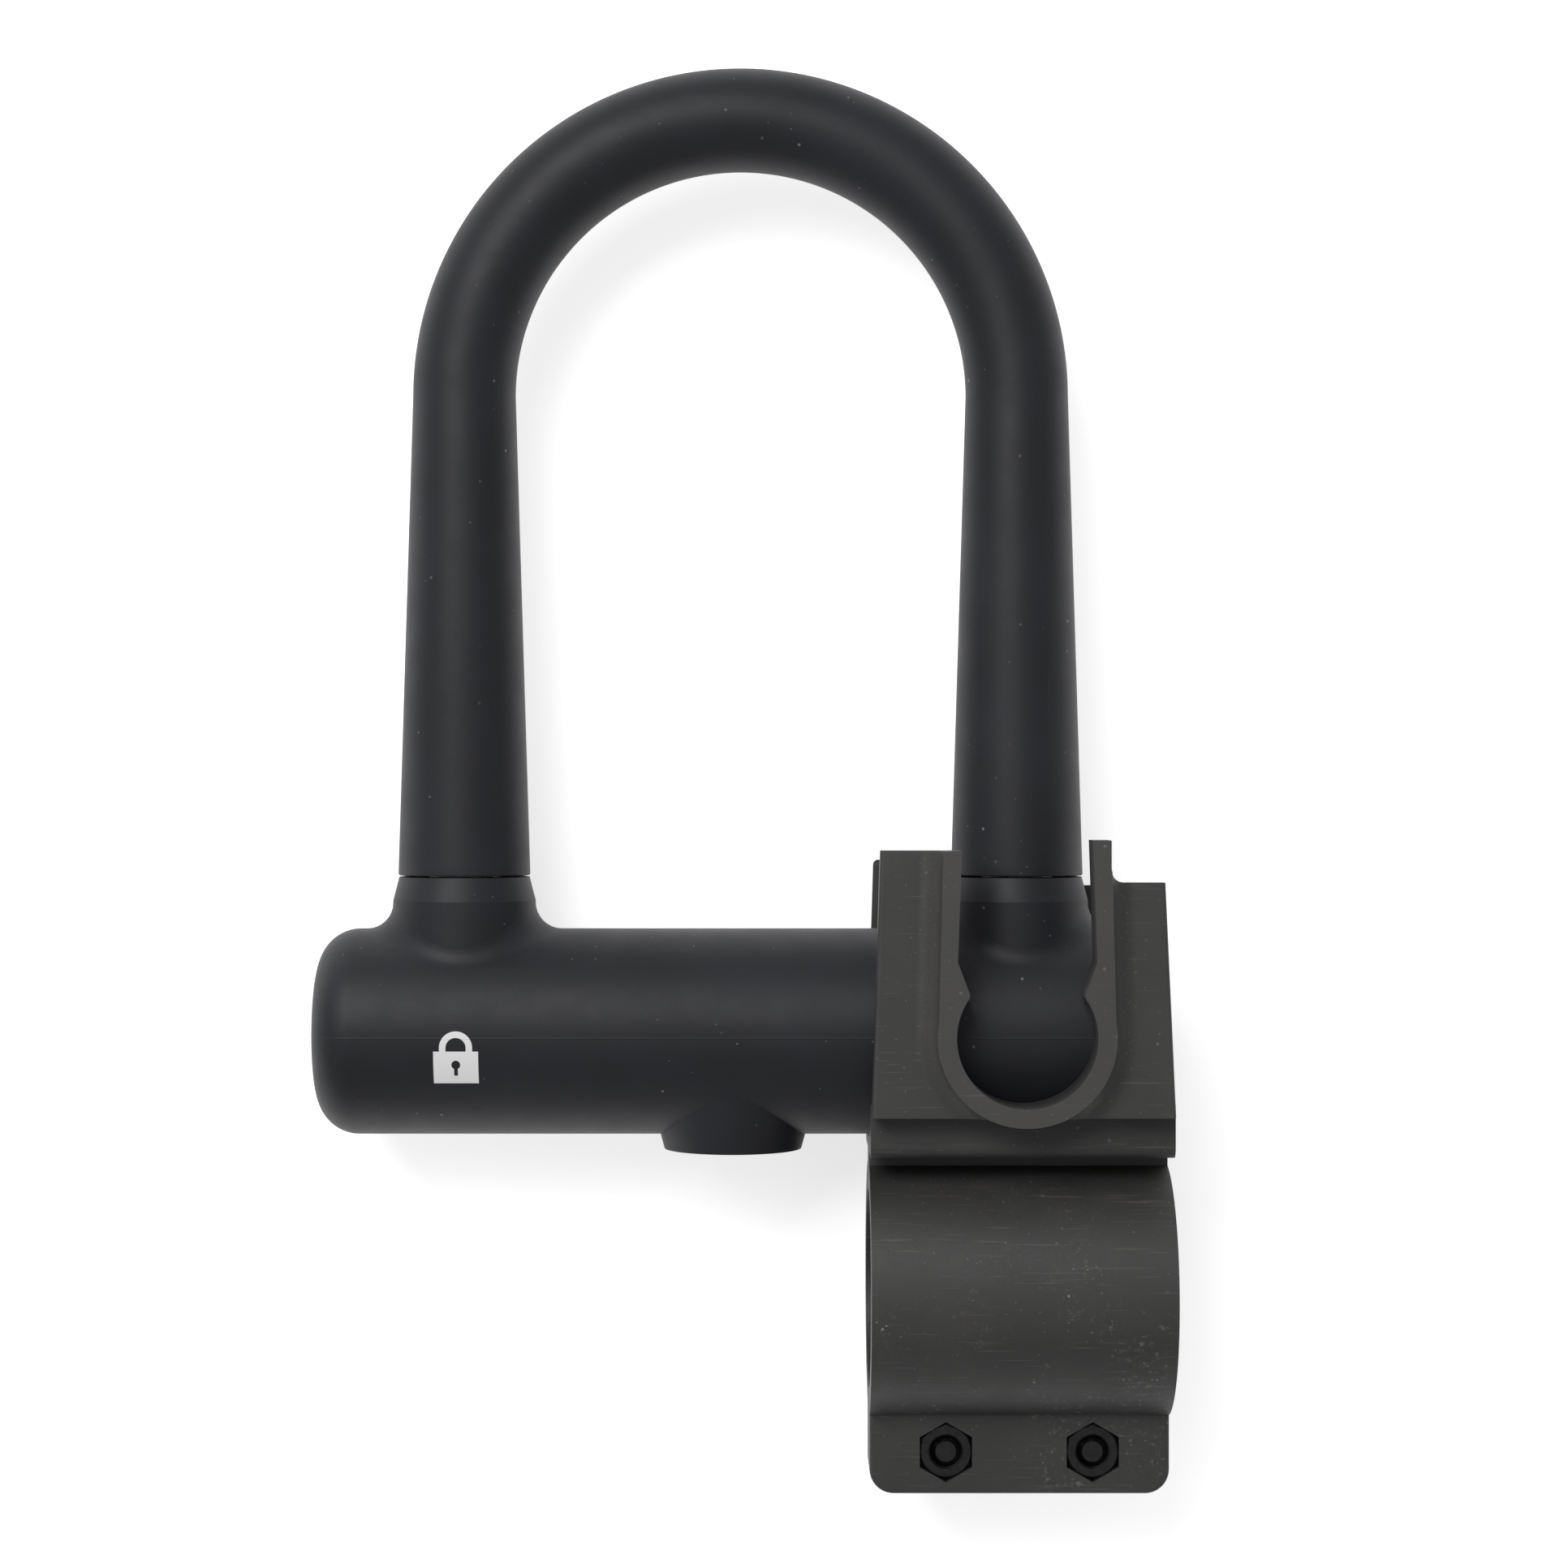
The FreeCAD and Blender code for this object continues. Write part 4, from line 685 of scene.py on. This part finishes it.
class ULOCK_OT_shackle_cover(Operator):
    """Silicone cover of the shackle"""

    bl_idname = "ulock.shackle_cover"
    bl_label = "Shackle cover"

    def execute(self, context):
        points, faces = shackle_cover_surface(context.scene.ulock_edges.cover_lip)
        material = silicone("shackle_silicone", context.scene.ulock_colours.silicone)
        piece = put_mesh("shackle_cover", points, faces, material, "shackle")
        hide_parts("shackle_sleeve")
        return {"FINISHED"}


class ULOCK_OT_crossbar_cover(Operator):
    """Silicone cover of the crossbar"""

    bl_idname = "ulock.crossbar_cover"
    bl_label = "Crossbar cover"

    def execute(self, context):
        tint = context.scene.ulock_colours
        finish_node("crossbar_sleeve", silicone("crossbar_silicone", tint.silicone, bar_marks))
        return {"FINISHED"}


class ULOCK_OT_bracket(Operator):
    """Moulded holster with its clamp loop"""

    bl_idname = "ulock.bracket"
    bl_label = "Bracket"

    def execute(self, context):
        material = moulded_nylon("bracket_nylon", context.scene.ulock_colours.nylon)
        width = context.scene.ulock_edges.bracket
        piece = softened_copy("bracket", "bracket_moulding", material, width, 32.0)
        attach(piece, "bracket")
        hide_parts("bracket")
        return {"FINISHED"}


class ULOCK_OT_clamp_screws(Operator):
    """Clamp screws with their washers and captive nuts"""

    bl_idname = "ulock.clamp_screws"
    bl_label = "Clamp screws"

    def execute(self, context):
        material = zinc_plate("black_zinc", context.scene.ulock_colours.zinc)
        nut_low, nut_high = span("clamp_nuts")
        screw_low, screw_high = span("clamp_bolts")
        washer_low, washer_high = span("clamp_washers")
        corner = (nut_high[1] - nut_low[1]) / 2
        apothem = corner * math.cos(math.pi / 6)
        shank, key = 0.6 * apothem, 0.4 * apothem
        y = (nut_high[1] + nut_low[1]) / 2
        beside = nut_high[0] - apothem
        head_radius = screw_high[0] - beside
        washer_radius = washer_high[0] - beside
        nut = nut_stations(nut_low[2], nut_high[2], apothem, shank)
        screw = screw_stations(screw_low[2], washer_low[2], screw_high[2], head_radius, shank,
                               key)
        washer = washer_stations(washer_low[2], washer_high[2], shank + WASHER_PLAY,
                                 washer_radius)
        groups = (("captive_nuts", nut, 72, True, "clamp_nuts"),
                  ("button_screws", screw, 48, False, "clamp_bolts"),
                  ("flat_washers", washer, 72, True, "clamp_washers"))
        for name, stations, columns, ring, node in groups:
            points, faces = join_shapes([turned(stations, columns, (x, y, 0.0), ring=ring)
                                         for x in (-beside, beside)])
            piece = put_mesh(name, points, faces, material, "bracket")
            shade_by_angle(piece, 28.0)
            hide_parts(node)
        return {"FINISHED"}


class ULOCK_OT_keyhole(Operator):
    """Bezel round the keyhole, and its dust shutter"""

    bl_idname = "ulock.keyhole"
    bl_label = "Keyhole"

    def execute(self, context):
        edge = context.scene.ulock_edges.keyhole
        material = moulded_nylon("bezel_nylon", context.scene.ulock_colours.bezel, wear_and_rim_highlight=False)
        radius = (BEZEL_HIGH[0] - BEZEL_LOW[0]) / 2
        thick = BEZEL_HIGH[1] - BEZEL_LOW[1]
        recess = SHUTTER_BACK - BEZEL_LOW[1] + SHUTTER_GAP
        centre = ((BEZEL_HIGH[0] + BEZEL_LOW[0]) / 2, BEZEL_LOW[1], 0.0)
        ring = bezel_stations(radius, thick, recess, BEZEL_RIM, KEYHOLE_RADIUS, edge)
        points, faces = turned(ring, 96, centre, along="Y", ring=True)
        bezel = put_mesh("dished_bezel", points, faces, material, "crossbar")
        shade_by_angle(bezel, 40.0)
        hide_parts("keyhole_bezel")
        shutter = softened_copy("keyhole_shutter", "shutter_blade", material, edge, 40.0)
        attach(shutter, "shutter")
        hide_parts("keyhole_shutter")
        return {"FINISHED"}


class ULOCK_OT_metalwork(Operator):
    """Finishes of the steel, brass and nylon pieces inside the lock"""

    bl_idname = "ulock.metalwork"
    bl_label = "Metalwork"

    def execute(self, context):
        tint = context.scene.ulock_colours
        steel = ground_steel("ground_steel", tint.steel, (900.0, 60.0, 900.0))
        tube_steel = ground_steel("tube_steel", tint.steel, (60.0, 900.0, 900.0))
        brass = turned_brass("turned_brass", tint.brass)
        bush = moulded_nylon("bush_nylon", tint.bush, wear_and_rim_highlight=False)
        finishes = (
            (steel, ("shackle", "left_deadbolt", "right_deadbolt", "left_drive_pin",
                     "right_drive_pin", "drill_plate", "left_end_pin", "right_end_pin",
                     "cylinder_pin", "shutter_pin")),
            (tube_steel, ("crossbar_tube", "left_end_plug", "right_end_plug", "left_bolt_guide",
                          "right_bolt_guide", "sidebar")),
            (brass, ("cylinder_housing", "key_core", "detainer_discs", "disc_spacers",
                     "drive_cam")),
            (bush, ("left_foot_bush", "right_foot_bush")),
        )
        for material, nodes in finishes:
            for node in nodes:
                finish_node(node, material)
        return {"FINISHED"}


# Both are Blender's own units: the sensor is in millimetres and the clip in metres.
SENSOR_WIDTH = 36.0
CLIP_START = 0.01


def add_floor(scene, middle):
    """A pale square floor just below the lock."""
    studio = scene.ulock_studio
    height = float(CAD_BOX[0][2]) - studio.floor_gap
    reach = studio.floor_reach
    corners = [(-reach, -reach), (reach, -reach), (reach, reach), (-reach, reach)]
    mesh = bpy.data.meshes.new("floor")
    points = [(middle.x + x, middle.y + y, height) for x, y in corners]
    mesh.from_pydata(points, [], [(0, 1, 2, 3)])
    floor = bpy.data.objects.new("floor", mesh)
    scene.collection.objects.link(floor)
    glow = (("Emission Color", (1, 1, 1, 1)), ("Emission Strength", studio.glow))
    finish = Finish("studio_floor", scene.ulock_colours.floor, 0.9, constants=glow)
    mesh.materials.append(finish.material)


def add_surroundings(scene):
    """Plain white light from all round."""
    world = bpy.data.worlds.new("studio")
    world.use_nodes = True
    surroundings = world.node_tree.nodes["Background"]
    surroundings.inputs["Color"].default_value = (1, 1, 1, 1)
    surroundings.inputs["Strength"].default_value = scene.ulock_studio.fill
    scene.world = world


def add_area_light(name, place, aim, size, power):
    """A square soft light that looks at a point."""
    light = bpy.data.lights.new(name, "AREA")
    light.size = size
    light.energy = power
    lamp = bpy.data.objects.new(name, light)
    lamp.location = place
    lamp.rotation_euler = (Vector(aim) - Vector(place)).to_track_quat("-Z", "Y").to_euler()
    bpy.context.scene.collection.objects.link(lamp)


def add_camera(scene, middle):
    """A camera that looks straight down on the lock."""
    studio = scene.ulock_studio
    camera = bpy.data.cameras.new("camera")
    camera.sensor_width = SENSOR_WIDTH
    camera.lens = camera.sensor_width * studio.distance / studio.field
    camera.clip_start = CLIP_START
    view = bpy.data.objects.new("camera", camera)
    view.location = middle + Vector((0, 0, studio.distance))
    scene.collection.objects.link(view)
    scene.camera = view


class ULOCK_OT_stage(Operator):
    """Plain floor, soft studio light and camera"""

    bl_idname = "ulock.stage"
    bl_label = "Studio"

    def execute(self, context):
        scene = context.scene
        studio = scene.ulock_studio
        middle = Vector(studio.centre)
        add_floor(scene, middle)
        add_surroundings(scene)
        place = middle + Vector(studio.key_place)
        add_area_light("key_light", place, middle, studio.key_size, studio.key)
        add_camera(scene, middle)
        scene.view_settings.view_transform = "Standard"
        return {"FINISHED"}


class ULOCK_PT_panel(Panel):
    """The lock's pieces in the sidebar"""

    bl_idname = "ULOCK_PT_panel"
    bl_label = "U Lock"
    bl_space_type = "VIEW_3D"
    bl_region_type = "UI"
    bl_category = "U Lock"

    def draw(self, context):
        scene = context.scene
        for group in (scene.ulock_colours, scene.ulock_edges, scene.ulock_studio):
            box = self.layout.box()
            for name in group.bl_rna.properties.keys():
                if name not in ("rna_type", "name"):
                    box.prop(group, name)
        for operator in OPERATORS:
            self.layout.operator(operator.bl_idname)


OPERATORS = (ULOCK_OT_shackle_cover, ULOCK_OT_crossbar_cover, ULOCK_OT_bracket,
             ULOCK_OT_clamp_screws, ULOCK_OT_keyhole, ULOCK_OT_metalwork, ULOCK_OT_stage)
CLASSES = (ULockColours, ULockEdges, ULockStudio, *OPERATORS, ULOCK_PT_panel)


def register():
    for item in CLASSES:
        bpy.utils.register_class(item)
    bpy.types.Scene.ulock_colours = PointerProperty(type=ULockColours)
    bpy.types.Scene.ulock_edges = PointerProperty(type=ULockEdges)
    bpy.types.Scene.ulock_studio = PointerProperty(type=ULockStudio)


def unregister():
    del bpy.types.Scene.ulock_studio
    del bpy.types.Scene.ulock_edges
    del bpy.types.Scene.ulock_colours
    for item in reversed(CLASSES):
        bpy.utils.unregister_class(item)


def main():
    register()
    for operator in OPERATORS:
        group, name = operator.bl_idname.split(".")
        getattr(getattr(bpy.ops, group), name)()


if __name__ == "__main__":
    main()
